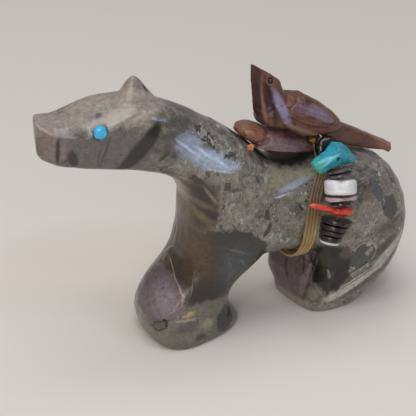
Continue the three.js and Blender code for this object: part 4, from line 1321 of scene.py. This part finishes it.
@dataclass
class BeadString:
    """The string of beads on the left flank."""

    beads: tuple[Bead, ...] = BEADS
    # A small pit in the front of the nugget, painted dark as shade.
    nugget_hole: Place = (17.5, -7.7, 35.8)
    hole_cut: tuple[float, float] = (0.5, 0.32)
    # The length and the width of the coral's grooves.
    groove_size: tuple[float, float] = (2.4, 0.7)

    def nugget(self) -> Piece:
        """The turquoise nugget: an uneven tumbled chunk.

        Returns:
            The finished nugget.
        """
        piece = refined("turquoise_nugget", "turquoise_nugget_piece", 0.1, 3)
        hole = Vector(self.nugget_hole)
        carve(piece, lambda at, normal: 0.12 * (noise.noise(at / 1.3) - 0.5)
              - stroke((at - hole).length, self.hole_cut))
        return dress(piece, Finishes.NUGGET, "turquoise_nugget")

    def stretched(self, at: Vector) -> Vector:
        """A place in units of the coral's growth grooves, which are long on X and narrow across."""
        return Vector((at.x / self.groove_size[0], at.y / self.groove_size[1], at.z / self.groove_size[1]))

    def coral(self) -> Piece:
        """The coral branch, with the shallow grooves of its growth along it.

        Returns:
            The finished branch.
        """
        piece = refined("coral_branch", "coral_branch_piece", 0.08, 3)
        carve(piece, lambda at, normal: 0.1 * (noise.noise(self.stretched(at)) - 0.5))
        return dress(piece, Finishes.CORAL, "coral_branch")

    def thread(self) -> Piece:
        """The thread that carries the beads."""
        piece = refined("bead_thread", "string_thread", 0.06, 2)
        return dress(piece, Finishes.THREAD, "bead_thread")

    def build(self) -> None:
        """Makes the thread and everything on it."""
        self.thread()
        self.nugget()
        self.coral()
        for bead in self.beads:
            bead.make()


@dataclass
class Studio:
    """Camera, floor and soft lights."""

    azimuth: float = -25
    elevation: float = 30
    distance: float = 350
    target: Place = (-4.347, 3.281, 25)
    image_side: int = 416
    focal_pixels: float = 1842
    sensor: float = 36

    def way_back(self) -> Vector:
        """The direction from the object to the camera."""
        turn, rise = math.radians(self.azimuth), math.radians(self.elevation)
        return Vector((math.sin(turn) * math.cos(rise), -math.cos(turn) * math.cos(rise), math.sin(rise)))

    def camera(self) -> None:
        """A long lens at the viewing angle of the photograph."""
        data = bpy.data.cameras.new("camera")
        data.sensor_width = self.sensor
        data.lens = self.focal_pixels / self.image_side * self.sensor
        data.clip_start, data.clip_end = 0.01, 10
        eye = bpy.data.objects.new("camera", data)
        bpy.context.scene.collection.objects.link(eye)
        eye.location = (Vector(self.target) + self.way_back() * self.distance) * MM
        eye.rotation_euler = (-self.way_back()).to_track_quat("-Z", "Y").to_euler()
        bpy.context.scene.camera = eye

    def floor(self) -> None:
        """A plain pale floor."""
        bpy.ops.object.select_all(action="DESELECT")
        bpy.ops.mesh.primitive_plane_add(size=3, location=(0, 0, -0.05 * MM))
        floor = bpy.context.object
        floor.name = "floor"
        paint = bpy.data.materials.new("pale floor paper")
        paint.use_nodes = True
        shader = paint.node_tree.nodes["Principled BSDF"]
        shader.inputs["Base Color"].default_value = linear("#ddd8cf")
        shader.inputs["Roughness"].default_value = 0.8
        floor.data.materials.append(paint)

    def light(self, name: str, place: Place, size: tuple[float, float], power: float, colour: str) -> None:
        """A soft light that looks at the middle of the object.

        Args:
            name: The light's name.
            place: Where it stands, in mm.
            size: Its width and height in mm.
            power: Its power in watts.
            colour: Its colour.
        """
        data = bpy.data.lights.new(name, "AREA")
        data.shape = "RECTANGLE"
        data.size, data.size_y = size[0] * MM, size[1] * MM
        data.energy = power
        data.color = linear(colour)[:3]
        lamp = bpy.data.objects.new(name, data)
        bpy.context.scene.collection.objects.link(lamp)
        lamp.location = Vector(place) * MM
        lamp.rotation_euler = (Vector(self.target) * MM - lamp.location).to_track_quat("-Z", "Y").to_euler()

    def build(self) -> None:
        """Sets up the camera, the floor and the lights."""
        self.camera()
        self.floor()
        self.light("overhead softbox", (-60, 20, 520), (420, 420), 1.6, "#fdfbfa")
        self.light("front softbox", (-260, -380, 260), (280, 280), 0.9, "#fff7ee")
        self.light("window", (166, -202, 318), (110, 45), 0.14, "#cfe0ff")
        self.light("small window", (-68, -222, 348), (50, 28), 0.1, "#e6efff")
        world = bpy.data.worlds.new("studio")
        world.use_nodes = True
        world.node_tree.nodes["Background"].inputs["Color"].default_value = linear("#dcdcde")
        world.node_tree.nodes["Background"].inputs["Strength"].default_value = 0.3
        bpy.context.scene.world = world
        bpy.context.scene.view_settings.view_transform = "Standard"


def main() -> None:
    """Builds the scene."""
    Studio().build()
    for assembly in (Horse(), Bundle(), Binding(), BeadString()):
        log.info("building %s", type(assembly).__name__)
        assembly.build()


if __name__ == "__main__":
    main()
